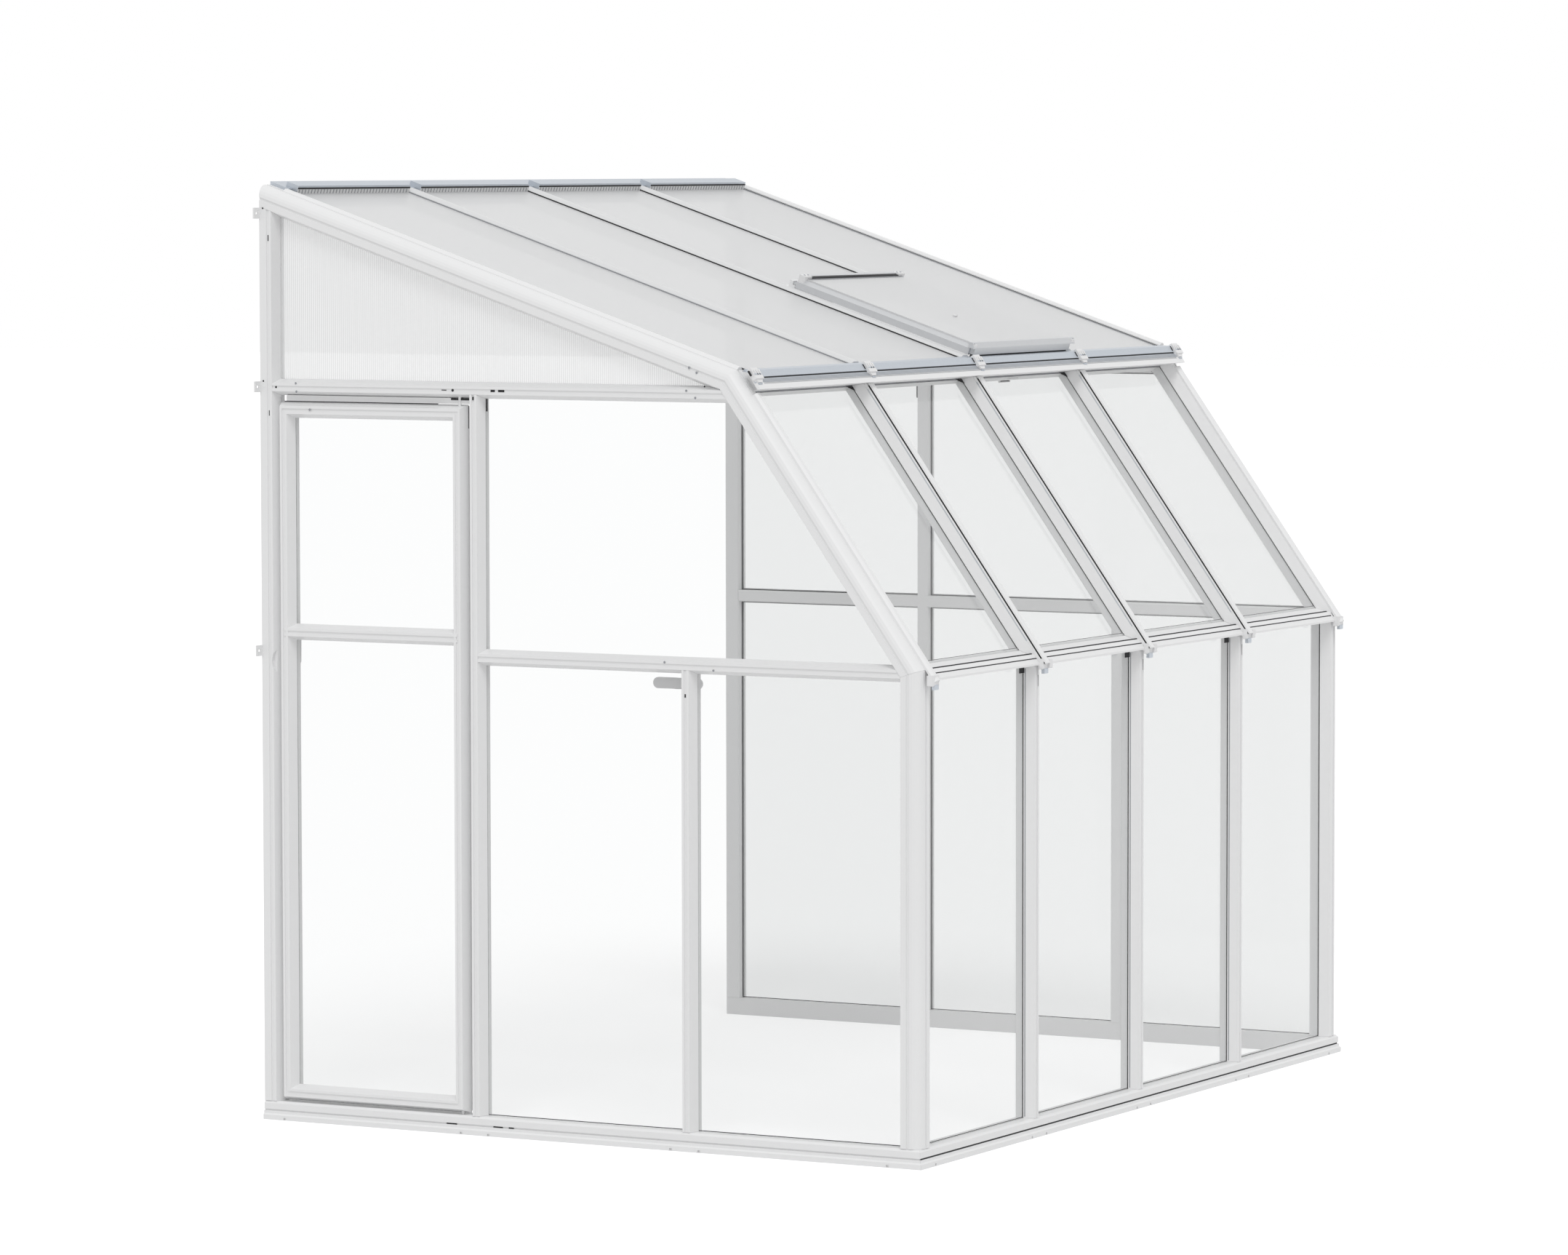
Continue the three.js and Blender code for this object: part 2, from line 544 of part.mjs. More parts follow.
// Ridge rail with its cap strips, one over each bay
const ridgeSection = [
  at(roof, ridgeStart, RAFTER.roofDeep - RAFTER.roofRise), at(roof, ridgeStart, -RAFTER.roofRise),
  atY(roof, DEPTH, -RAFTER.roofRise), [DEPTH, RIDGE_Z - RIDGE.wallHigh],
];
const capSection = [
  at(roof, ridgeStart - RIDGE.capOver, -RIDGE.capSink), at(roof, ridgeStart - RIDGE.capOver, -RIDGE.capTop),
  at(roof, ridgeStart + RIDGE.capBack, -RIDGE.capTop), at(roof, ridgeStart + RIDGE.capBack, -RIDGE.capSink),
];
const roofSide = RAFTER.face / 2 + GAP;
const bayStart = (bay) => (bay === 0 ? -HALF + edgeReach : lineX(bay) + roofSide);
const bayEnd = (bay) => (bay === FRONT_BAYS - 1 ? HALF - edgeReach : lineX(bay + 1) - roofSide);
let ridgeRail = betweenEdges(ridgeSection);
for (let bay = 0; bay < FRONT_BAYS; bay++) {
  ridgeRail = ridgeRail.add(alongX(capSection, bayStart(bay) + RIDGE.capInset, bayEnd(bay) - RIDGE.capInset));
}
place("ridge_rail", ridgeRail, aluminium);

// Gable frames
function makeWallPost(side) {
  const high = atY(roof, DEPTH, EDGE.face)[1];
  let post = gablePost(side, wallPostY, sillTop, high, wallSection);
  for (const drop of EAR_DROPS) {
    const z = RIDGE_Z - drop;
    const reach = [gableX(side, -EAR.wide), gableX(side, EAR.root)].sort((a, b) => a - b);
    const slot = [gableX(side, -EAR.out - EAR.slotWide / 2), gableX(side, -EAR.out + EAR.slotWide / 2)];
    slot.sort((a, b) => a - b);
    const tab = rectangle([reach[0], z - EAR.high / 2], [reach[1], z + EAR.high / 2]);
    const hole = rectangle([slot[0], z - EAR.slotHigh / 2], [slot[1], z + EAR.slotHigh / 2]);
    post = post.add(alongY(tab, DEPTH - EAR.thick, DEPTH));
    post = post.subtract(alongY(hole, DEPTH - EAR.thick - OVERRUN, DEPTH + OVERRUN));
  }
  return besideEdges(post);
}

const recess = circle([wallPostY - half + RECESS.sagitta - RECESS.radius, RECESS.z], RECESS.radius);
const nearRecess = alongX(recess, -HALF - OVERRUN, gableX(-1, RECESS.deep));
place("wall_post_near", makeWallPost(-1).subtract(nearRecess), whiteFrame);
place("wall_post_far", makeWallPost(1), whiteFrame);

// Rails end at the edges and at the posts that they meet, posts end under their rail
function railBetween(side, z, postY) {
  const outside = z < EAVE_Z ? 0 : ((z - EAVE_Z) * slope.along[0]) / slope.along[1];
  const rail = gableRail(side, z, outside + EDGE.round, postY).subtract(gablePost(side, postY, 0, RIDGE_Z, barKeep));
  return besideEdges(rail);
}

function postUnder(side, y, railZ) {
  return gablePost(side, y, sillTop, railZ).subtract(gableRail(side, railZ, 0, DEPTH, barKeep));
}

const headPin = alongZ(pivotHole, headZ - PROFILE.face, pinHigh + GAP);
place("head_rail_near", railBetween(-1, headZ, wallPostY).subtract(headPin), whiteFrame);
place("head_rail_far", railBetween(1, headZ, wallPostY), whiteFrame);
place("door_jamb", postUnder(-1, jambY, headZ), whiteFrame);
place("mid_rail_near", railBetween(-1, MID_RAIL_Z, jambY), whiteFrame);
place("short_mullion_near", postUnder(-1, mullionY, MID_RAIL_Z), whiteFrame);
place("short_mullion_far", postUnder(1, mullionY, MID_RAIL_Z), whiteFrame);

// The far gable's mullion and the rail that crosses it are joined in one cross
const farCross = postUnder(1, jambY, headZ).add(railBetween(1, MID_RAIL_Z, wallPostY));
place("far_mullion_cross", farCross, whiteFrame);

// Clear panes of the front and the slope
const paneStart = (bay) => (bay === 0 ? paneReach - HALF : lineX(bay) + paneEdge);
const paneEnd = (bay) => (bay === FRONT_BAYS - 1 ? HALF - paneReach : lineX(bay + 1) - paneEdge);
for (let bay = 0; bay < FRONT_BAYS; bay++) {
  const low = [paneIn - PANE / 2, sillTop];
  const high = [paneIn + PANE / 2, eaveLow - GAP];
  place(`front_pane_${bay + 1}`, alongX(rectangle(low, high), paneStart(bay), paneEnd(bay)), clearPane);
  const slopeOutline = [
    at(slope, EAVE.stop + GAP, paneIn - PANE / 2), at(slope, paneTop - GAP, paneIn - PANE / 2),
    at(slope, paneTop - GAP, paneIn + PANE / 2), at(slope, EAVE.stop + GAP, paneIn + PANE / 2),
  ];
  place(`slope_pane_${bay + 1}`, alongX(slopeOutline, paneStart(bay), paneEnd(bay)), clearPane);
}

// Roof parts are given along the roof from the kink, and up from its outline
function roofOutline(points) {
  return points.map(([along, up]) => at(roof, along, -up));
}

const ventTop = VENT.long - VENT.low;
const trimmerLow = ventTop + TRIMMER.gap;
const trimmerHigh = trimmerLow + TRIMMER.wide;
const panelStart = (bay) => (bay === 0 ? -HALF : bayStart(bay));
const panelEnd = (bay) => (bay === FRONT_BAYS - 1 ? HALF : bayEnd(bay));
for (let bay = 0; bay < FRONT_BAYS; bay++) {
  const low = bay === ventBay ? trimmerHigh + GAP : GAP - KINK.start;
  const outline = roofOutline(rectangle([low, -PANEL_IN - PANE], [ridgeStart - GAP, -PANEL_IN]));
  place(`roof_panel_${bay + 1}`, besideEdges(alongX(outline, panelStart(bay), panelEnd(bay))), twinPanel);
}

// Gable panes and twin-wall triangles
function gablePane(side, from, to, low, high) {
  return gablePlate(side, [from, low], [to, high]).intersect(paneRoom);
}

const midLow = MID_RAIL_Z - paneEdge;
const midHigh = MID_RAIL_Z + paneEdge;
const headLow = headZ - paneEdge;
const paneNames = { near: ["upper", "lower_rear", "lower_front"], far: ["upper_front", "lower_middle", "lower_front"] };
for (const [end, side] of ends) {
  const triangle = gablePane(side, paneReach, wallPostY - paneEdge, headZ + paneEdge, RIDGE_Z);
  const upper = gablePane(side, paneReach, jambY - paneEdge, midHigh, headLow);
  const rear = gablePane(side, mullionY + paneEdge, jambY - paneEdge, sillTop, midLow);
  const lowerFront = gablePane(side, paneReach, mullionY - paneEdge, sillTop, midLow);
  place(`gable_panel_${end}`, triangle, twinPanel);
  [upper, rear, lowerFront].forEach((pane, i) => place(`pane_${end}_${paneNames[end][i]}`, pane, clearPane));
}
const farRear = [jambY + paneEdge, wallPostY - paneEdge];
place("pane_far_upper_rear", gablePane(1, ...farRear, midHigh, headLow), clearPane);
place("pane_far_lower_rear", gablePane(1, ...farRear, sillTop, midLow), clearPane);

// Door: a mitred frame that turns on two pins beside the jamb
const doorCorners = [[-1, -1], [1, -1], [1, 1], [-1, 1]];
const doorStops = doorCorners.map(([turnY, turnZ]) => (u, v) => new THREE.Vector3(
  gableX(-1, v),
  (turnY < 0 ? hingeY : freeY) + turnY * u,
  (turnZ < 0 ? doorLow : doorHigh) + turnZ * u,
));
const pivotPin = alongZ(circle([pivotX, hingeY], DOOR.pin), pinLow, pinHigh);
const doorFrame = swept(barSection, doorStops, true).add(gableRail(-1, DOOR.midZ, hingeY, freeY)).add(pivotPin);
place("door_frame", doorFrame, whiteFrame);

const doorPane = (low, high) => gablePlate(-1, [hingeY + paneEdge, low], [freeY - paneEdge, high]);
place("door_pane_lower", doorPane(doorLow + paneEdge, DOOR.midZ - paneEdge), clearPane);
place("door_pane_upper", doorPane(DOOR.midZ + paneEdge, doorHigh - paneEdge), clearPane);

// Turn latch inside the door's free stile; it stands upright, clear of the wall post
const latchY = freeY;
const latchIn = PROFILE.deep + LATCH.clear;
const latchEnd = LATCH.length - LATCH.wide / 2;
const latchOutline = pill([LATCH.z, latchY], [LATCH.z + latchEnd, latchY], LATCH.wide / 2).map(([z, y]) => [y, z]);
const latchPlate = alongX(latchOutline, gableX(-1, latchIn), gableX(-1, latchIn + LATCH.thick));
const latchHub = alongX(circle([latchY, LATCH.z], LATCH.hub), gableX(-1, PROFILE.deep + GAP), gableX(-1, latchIn + GAP));
place("door_latch", latchPlate.add(latchHub), whiteFrame);

// Turn lever behind the short mullion of the door gable
const leverZ = MID_RAIL_Z - LEVER.drop;
const leverFrom = gableX(-1, PROFILE.deep + GAP);
const leverStep = leverFrom + LEVER.hubThick;
const leverArm = alongX(
  pill([mullionY, leverZ], [mullionY + LEVER.reach, leverZ], LEVER.wide / 2),
  leverStep,
  leverStep + LEVER.thick,
);
const leverHub = alongX(
  pill([mullionY, leverZ], [mullionY + LEVER.hubReach, leverZ], LEVER.wide / 2),
  leverFrom,
  leverStep + GAP,
);
place("side_lever", leverArm.add(leverHub), whiteFrame);

// Roof vent
const ventLow = RAFTER.roofRise + GAP;
const ventHigh = ventLow + VENT.high;
const ventPanelLow = ventHigh + GAP;
const ventPanelHigh = ventPanelLow + PANE;
const ventHull = [
  [ventLeft, ventLow], [ventRight, ventLow], [ventRight, ventLow + VENT.shoulder], [ventRight - VENT.ease, ventHigh],
  [ventLeft + VENT.ease, ventHigh], [ventLeft, ventLow + VENT.shoulder],
];
const ventStop = (s) => (u, v) => new THREE.Vector3(u, ...at(roof, s, -v));
const innerSlab = roofOutline(
  rectangle([VENT.rail - VENT.low, ventLow - OVERRUN], [ventTop - VENT.rail, ventHigh + OVERRUN]),
);
const beadAt = ventTop + VENT.beadGap;
const beadUp = ventLow + VENT.beadHigh;
const beadCentre = at(roof, beadAt, -beadUp);
const beadFrom = bayStart(ventBay) + VENT.endGap;
const beadTo = bayEnd(ventBay) - VENT.endGap;
const hingeWeb = roofOutline(
  rectangle([ventTop - VENT.web, beadUp - VENT.web / 2], [beadAt, beadUp + VENT.web / 2]),
);

// Bottom bar in two steps, and the cap that leaves a slot over the panel's upper end
const barFace = -VENT.low - VENT_BAR.thick;
const barLow = ventLow + VENT_BAR.low;
const barStep = barLow + VENT_BAR.step;
const barRest = ventPanelHigh + GAP;
const lowerBar = roofOutline(rectangle([barFace, barLow], [GAP - VENT.low, barStep]));
const upperBar = roofOutline([
  [GAP - VENT.low, barStep - GAP], [barFace - VENT_BAR.over, barStep - GAP],
  [barFace - VENT_BAR.over, barStep + VENT_BAR.edge],
  [barFace - VENT_BAR.over + VENT_BAR.lean, barRest + VENT_BAR.top],
  [barFace - VENT_BAR.over + VENT_BAR.lean + VENT_BAR.crest, barRest + VENT_BAR.top],
  [VENT_BAR.lip - VENT.low, barRest + VENT_BAR.tail], [VENT_BAR.lip - VENT.low, barRest], [GAP - VENT.low, barRest],
]);
const capUnder = ventPanelHigh + VENT_CAP.gap;
const topCap = roofOutline([
  [ventTop - VENT_CAP.wall, ventHigh - GAP], [ventTop, ventHigh - GAP], [ventTop, capUnder + VENT_CAP.thick],
  [ventTop - VENT_CAP.deep, capUnder + VENT_CAP.thick], [ventTop - VENT_CAP.deep, capUnder],
  [ventTop - VENT_CAP.wall, capUnder],
]);

// The stay's pivot is on an ear of the vent's lower rail
const stayAt = VENT.rail - VENT.low + STAY.in;
const stayUp = ventLow + STAY.up;
const stayPivot = at(roof, stayAt, -stayUp);
const earFrom = stayX + STAY.thick / 2 + GAP;
const earOutline = roofOutline(
  rectangle([stayAt - STAY.earLong, stayUp - STAY.wide / 2], [stayAt + STAY.wide / 2, stayUp + STAY.wide / 2]),
);
const ventEar = alongX(earOutline, earFrom, earFrom + STAY.thick).subtract(
  alongX(circle(stayPivot, STAY.pin + STAY.clearance), earFrom - OVERRUN, earFrom + STAY.thick + OVERRUN),
);
const ventFrame = swept(ventHull, [ventStop(-VENT.low), ventStop(ventTop)])
  .subtract(alongX(innerSlab, ventLeft + VENT.rail, ventRight - VENT.rail))
  .add(alongX(circle(beadCentre, VENT.bead), beadFrom, beadTo))
  .add(alongX(hingeWeb, beadFrom, beadTo))
  .add(alongX(lowerBar, ventLeft + VENT_BAR.in, ventRight - VENT_BAR.in))
  .add(alongX(upperBar, ventLeft - VENT_BAR.out, ventRight + VENT_BAR.out))
  .add(alongX(topCap, ventLeft + VENT.ease, ventRight - VENT.ease))
  .add(ventEar);
place("vent_frame", ventFrame, aluminium);
const ventSheet = roofOutline(
  rectangle([GAP - VENT.low + GAP, ventPanelLow], [ventTop - VENT_CAP.wall - GAP, ventPanelHigh]),
);
place("vent_panel", alongX(ventSheet, ventLeft + VENT.ease, ventRight - VENT.ease), twinPanel);

const lipFrom = beadAt + VENT.bead + GAP;
const lipFloor = beadUp - VENT.bead - GAP;
const trimmerSection = roofOutline([
  [trimmerLow, RAFTER.roofRise - RAFTER.roofDeep], [trimmerHigh, RAFTER.roofRise - RAFTER.roofDeep],
  [trimmerHigh, TRIMMER.top], [lipFrom + TRIMMER.lipBack, TRIMMER.top],
  [lipFrom + TRIMMER.lipBack, beadUp + TRIMMER.lipHigh], [lipFrom, beadUp + TRIMMER.lipHigh],
  [lipFrom, lipFloor], [trimmerLow, lipFloor],
]);
place("vent_trimmer", alongX(trimmerSection, bayStart(ventBay), bayEnd(ventBay)), whiteFrame);

const stayOutline = pill([stayAt, stayUp], [stayAt + STAY.length - STAY.wide, stayUp], STAY.wide / 2);
let stay = alongX(roofOutline(stayOutline), stayX - STAY.thick / 2, stayX + STAY.thick / 2);
for (let hole = 1; hole <= STAY.holes; hole++) {
  const middle = at(roof, stayAt + (hole * (STAY.length - STAY.wide)) / STAY.holes, -stayUp);
  stay = stay.subtract(alongX(circle(middle, STAY.hole), stayX - OVERRUN, stayX + OVERRUN));
}
const stayPin = alongX(circle(stayPivot, STAY.pin), stayX, earFrom + STAY.thick + GAP);
place("vent_stay", stay.add(stayPin), aluminium);

export default greenhouse;
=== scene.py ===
"""Dresses a lean-to greenhouse: finishes, gaskets, seams, screws, connectors and the studio round it."""
import json
import logging
import math
from dataclasses import dataclass, field
from enum import Enum
from typing import Iterable, Sequence

import bmesh
import bpy
from bmesh.types import BMesh
from bpy.types import ID, Material, Mesh, Node, NodeSocket, NodeTree, Object
from mathutils import Matrix, Vector


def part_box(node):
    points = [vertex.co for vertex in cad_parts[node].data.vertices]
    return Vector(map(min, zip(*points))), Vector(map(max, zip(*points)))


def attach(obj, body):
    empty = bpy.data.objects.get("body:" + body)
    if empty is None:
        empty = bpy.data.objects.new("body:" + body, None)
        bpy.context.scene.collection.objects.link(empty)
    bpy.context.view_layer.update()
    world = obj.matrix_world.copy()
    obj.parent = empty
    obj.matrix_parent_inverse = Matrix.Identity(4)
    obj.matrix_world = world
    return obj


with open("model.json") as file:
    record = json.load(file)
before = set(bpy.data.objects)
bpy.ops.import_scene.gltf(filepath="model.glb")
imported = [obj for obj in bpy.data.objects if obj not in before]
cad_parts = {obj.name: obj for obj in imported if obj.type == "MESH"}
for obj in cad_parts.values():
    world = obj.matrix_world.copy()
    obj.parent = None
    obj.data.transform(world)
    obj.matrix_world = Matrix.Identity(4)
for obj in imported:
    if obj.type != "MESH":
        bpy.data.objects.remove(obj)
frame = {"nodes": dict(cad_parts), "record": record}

log = logging.getLogger("greenhouse")
Point = tuple[float, float]
Triple = tuple[float, float, float]
Colour = tuple[float, float, float]
Spans = tuple[Point, Point, Point]
Feed = dict[str | int, object]
MM = 0.001
LEVEL = 1e-4
SHARP_EDGE = 0.5
EASE_STEPS = 2
VENT_BAY = 2
TEETH = "cap_teeth"
SEEN_RAYS = ("Camera", "Glossy", "Transmission")
ACROSS, BACK, UP = Vector((1.0, 0.0, 0.0)), Vector((0.0, 1.0, 0.0)), Vector((0.0, 0.0, 1.0))


# --- sizes ---


@dataclass(frozen=True)
class Face:
    """A flat face with two directions of its own; its measures are millimetres."""

    origin: Vector
    u: Vector
    v: Vector
    out: Vector

    def at(self, u: float, v: float, up: float = 0.0) -> Vector:
        """Returns the place u and v along the face and up above it, in the scene."""
        return self.origin + (self.u * u + self.v * v + self.out * up) * MM


@dataclass(frozen=True)
class Line:
    """One straight stretch of the gable's outline, in the YZ plane, in millimetres."""

    start: Point
    end: Point

    @property
    def length(self) -> float:
        """Length of the stretch."""
        return math.dist(self.start, self.end)

    @property
    def along(self) -> Point:
        """Unit vector along the stretch."""
        return tuple((b - a) / self.length for a, b in zip(self.start, self.end))

    @property
    def inward(self) -> Point:
        """Unit vector into the room."""
        return (self.along[1], -self.along[0])

    def at(self, s: float, depth: float = 0.0) -> Point:
        """Returns the point s along the stretch and depth into the room."""
        return tuple(p + a * s + n * depth for p, a, n in zip(self.start, self.along, self.inward))

    def ring(self, s: Point, up: Point) -> list[Point]:
        """Returns a section between two places along the stretch and two heights above it."""
        return [self.at(a, -b) for a, b in ((s[0], up[0]), (s[1], up[0]), (s[1], up[1]), (s[0], up[1]))]

    def face(self) -> Face:
        """Returns the face over the stretch, with X across and the stretch up it."""
        along, out = Vector((0.0, *self.along)), Vector((0.0, -self.inward[0], -self.inward[1]))
        return Face(Vector((0.0, *self.start)) * MM, ACROSS, along, out)


@dataclass(frozen=True)
class Sizes:
    """Main sizes in millimetres, as the solids have them."""

    bay: float = 635.5
    bays: int = 4
    half: float = 1304.0
    front_inset: float = 33.0
    depth: float = 1979.0
    shift: float = -972.924
    eave_z: float = 1273.0
    kink: Point = (544.0, 2026.0)
    ridge_z: float = 2501.0
    strip: float = 10.5
    hood_half: float = 21.7
    hood: float = 29.0
    pane: float = 4.0
    edge_reach: float = 67.2
    edge_gap: float = 0.5
    purlin_low: Point = (849.95, -28.0)
    purlin_high: Point = (904.95, -30.0)

    @property
    def inner_half(self) -> float:
        """Half the length that is free between the gables' edge rafters."""
        return self.half - self.edge_reach - self.edge_gap

    def line_x(self, line: int) -> float:
        """X of a front post line, counted from the door gable."""
        return -self.half + self.front_inset + line * self.bay

    def outline(self, *ends: Point) -> Line:
        """Returns an outline stretch from two points whose Y counts from the front's face."""
        return Line(*((y + self.shift, z) for y, z in ends))

    @property
    def slope(self) -> Line:
        """The steep glazed stretch."""
        return self.outline((0.0, self.eave_z), self.kink)

    @property
    def roof(self) -> Line:
        """The shallow roof stretch."""
        return self.outline(self.kink, (self.depth, self.ridge_z))

    @property
    def channel(self) -> Line:
        """The channel's face over the purlin."""
        return Line(self.slope.at(*self.purlin_low), self.slope.at(*self.purlin_high))

    def front(self) -> Face:
        """The low front's outer face, X across and height up."""
        return Face(BACK * (self.shift * MM), ACROSS, UP, -BACK)

    def gable(self, side: float) -> Face:
        """A gable's outer face, with the distance behind the front across and height up."""
        return Face(Vector((side * self.half, self.shift, 0.0)) * MM, BACK, UP, ACROSS * side)

    def bay_ends(self, bay: int, clear: float, edge: float) -> Point:
        """Returns where a bay starts and ends along X.

        Args:
            bay: The bay, counted from the door gable.
            clear: How far it keeps from a rafter's line.
            edge: How far it keeps from a gable's face.

        Returns:
            The two X.
        """
        start = edge - self.half if bay == 0 else self.line_x(bay) + clear
        end = self.half - edge if bay == self.bays - 1 else self.line_x(bay + 1) - clear
        return start, end


SIZES = Sizes()


class Body(Enum):
    """The bodies that pieces ride on."""

    FRAME = "frame"
    DOOR = "door"
    VENT = "vent"


class Slot(Enum):
    """The record's material slots, by which the carried-over solids get their finishes."""

    WHITE = "white_frame"
    PANE = "clear_pane"
    TWIN = "twin_wall"
    METAL = "bare_aluminium"
    PLASTIC = "white_plastic"


# --- node graphs ---


class Graph:
    """A node tree whose nodes are made, set and joined in one go."""

    def __init__(self, tree: NodeTree) -> None:
        """Starts from a tree."""
        self.tree = tree

    def feed(self, node: Node, values: Feed) -> None:
        """Sets or joins a node's inputs.

        Args:
            node: The node.
            values: A value or another node's output, by the input's name or number.
        """
        for key, value in values.items():
            if isinstance(value, NodeSocket):
                self.tree.links.new(value, node.inputs[key])
            else:
                node.inputs[key].default_value = value

    def add(self, kind: str, values: Feed | None = None, **settings: object) -> Node:
        """Adds a node.

        Args:
            kind: The node's type.
            values: What its inputs get, by name or number.
            settings: The node's own settings.

        Returns:
            The node.
        """
        node = self.tree.nodes.new(kind)
        for name, value in settings.items():
            setattr(node, name, value)
        self.feed(node, values or {})
        return node

    def maths(self, operation: str, *values: object) -> NodeSocket:
        """Adds a Math node on one or two values and returns its output."""
        return self.add("ShaderNodeMath", dict(enumerate(values)), operation=operation).outputs[0]

    def mix(self, mask: NodeSocket, first: NodeSocket, second: NodeSocket) -> NodeSocket:
        """Mixes two shaders, the second where the mask is one, and returns the output."""
        return self.add("ShaderNodeMixShader", {0: mask, 1: first, 2: second}).outputs[0]

    def rays(self, *kinds: str) -> NodeSocket:
        """Adds a mask that is one for some kinds of light ray.

        Args:
            kinds: Their names, as in the Light Path node.

        Returns:
            The mask.
        """
        path = self.add("ShaderNodeLightPath").outputs
        mask = path[f"Is {kinds[0]} Ray"]
        for kind in kinds[1:]:
            mask = self.maths("MAXIMUM", mask, path[f"Is {kind} Ray"])
        return mask

    def let_light_in(self, shader: Node, colour: Colour) -> None:
        """Makes a sheet plainly see-through for lamps and for soft light.

        Args:
            shader: The sheet's shader.
            colour: The share of the light that passes.
        """
        passing = self.add("ShaderNodeBsdfTransparent", {"Color": (*colour, 1.0)}).outputs[0]
        both = self.mix(self.rays("Shadow", "Diffuse"), shader.outputs[0], passing)
        self.feed(self.tree.nodes["Material Output"], {"Surface": both})


def new_group(name: str, kind: str, ins: dict[str, tuple[str, object]], outs: dict[str, str]) -> Graph:
    """Starts a node group.

    Args:
        name: The group's name.
        kind: ShaderNodeTree or GeometryNodeTree.
        ins: Each input's type and default, where None is the type's own.
        outs: Each output's type.

    Returns:
        The group's graph.
    """
    tree = bpy.data.node_groups.new(name, kind)
    for label, (sort, value) in ins.items():
        made = tree.interface.new_socket(name=label, in_out="INPUT", socket_type=f"NodeSocket{sort}")
        if value is not None:
            made.default_value = value
    for label, sort in outs.items():
        tree.interface.new_socket(name=label, in_out="OUTPUT", socket_type=f"NodeSocket{sort}")
    return Graph(tree)


def new_material(name: str) -> tuple[Material, Graph, Node]:
    """Starts a material.

    Args:
        name: Its name.

    Returns:
        The material, its graph and its shader.
    """
    mat = bpy.data.materials.new(name)
    mat.use_nodes = True
    return mat, Graph(mat.node_tree), mat.node_tree.nodes["Principled BSDF"]


# --- finishes ---


def speckle_group() -> NodeTree:
    """Builds the group that varies a colour slightly and gives a fine surface height.

    Returns:
        The group, with Colour, Scale, Spread in and Colour, Height out.
    """
    ins = {"Colour": ("Color", None), "Scale": ("Float", 40.0), "Spread": ("Float", 0.03)}
    graph = new_group("coat_speckle", "ShaderNodeTree", ins, {"Colour": "Color", "Height": "Float"})
    given = graph.add("NodeGroupInput").outputs
    place = graph.add("ShaderNodeTexCoord").outputs["Object"]
    noise = graph.add("ShaderNodeTexNoise", {"Vector": place, "Scale": given["Scale"], "Detail": 4.0}).outputs["Fac"]
    darkest = graph.maths("SUBTRACT", 1.0, given["Spread"])
    shade = graph.add("ShaderNodeMapRange", {"Value": noise, "To Min": darkest}).outputs["Result"]
    blend = {"Factor": 1.0, "A": given["Colour"], "B": shade}
    tint = graph.add("ShaderNodeMix", blend, data_type="RGBA", blend_type="MULTIPLY")
    graph.add("NodeGroupOutput", {"Colour": tint.outputs["Result"], "Height": noise})
    return graph.tree


def ribs_group() -> NodeTree:
    """Builds the group of straight ribs of a twin-wall sheet.

    Returns:
        The group, with Pitch, Width, Along in and Mask out.
    """
    ins = {"Pitch": ("Float", 0.006), "Width": ("Float", 0.2), "Along": ("Vector", None)}
    graph = new_group("sheet_ribs", "ShaderNodeTree", ins, {"Mask": "Float"})
    given = graph.add("NodeGroupInput").outputs
    place = graph.add("ShaderNodeTexCoord").outputs["Object"]
    dot = graph.add("ShaderNodeVectorMath", {0: place, 1: given["Along"]}, operation="DOT_PRODUCT")
    wave = graph.maths("FRACT", graph.maths("DIVIDE", dot.outputs["Value"], given["Pitch"]))
    away = graph.maths("ABSOLUTE", graph.maths("SUBTRACT", wave, 0.5))
    span = {"Value": away, "From Min": 0.0, "From Max": given["Width"], "To Min": 1.0, "To Max": 0.0}
    graph.add("NodeGroupOutput", {"Mask": graph.add("ShaderNodeMapRange", span).outputs["Result"]})
    return graph.tree


@dataclass(frozen=True)
class Coat:
    """A painted, moulded, rubber or metal finish with a slight speckle."""

    name: str
    colour: Colour
    roughness: float
    metallic: float = 0.0
    scale: float = 40.0
    spread: float = 0.03
    bump: float = 0.02
    bump_depth: float = 0.0002

    def build(self, speckle: NodeTree) -> Material:
        """Makes the material.

        Args:
            speckle: The shared speckle group.

        Returns:
            The material.
        """
        mat, graph, shader = new_material(self.name)
        look = {"Colour": (*self.colour, 1.0), "Scale": self.scale, "Spread": self.spread}
        vary = graph.add("ShaderNodeGroup", look, node_tree=speckle)
        relief = {"Strength": self.bump, "Distance": self.bump_depth, "Height": vary.outputs["Height"]}
        bump = graph.add("ShaderNodeBump", relief).outputs["Normal"]
        graph.feed(shader, {"Base Color": vary.outputs["Colour"], "Normal": bump})
        graph.feed(shader, {"Roughness": self.roughness, "Metallic": self.metallic})
        return mat


@dataclass(frozen=True)
class ClearSheet:
    """Clear glazing that lets lamps and soft light through."""

    name: str = "clear_glazing"
    tint: Colour = (0.84, 0.845, 0.845)
    bend: float = 1.2
    lets_through: Colour = (0.99, 0.99, 0.99)

    def build(self) -> Material:
        """Makes the material.

        Returns:
            The material.
        """
        mat, graph, shader = new_material(self.name)
        graph.feed(shader, {"Base Color": (*self.tint, 1.0), "Roughness": 0.0, "IOR": self.bend})
        graph.feed(shader, {"Transmission Weight": 1.0})
        graph.let_light_in(shader, self.lets_through)
        return mat


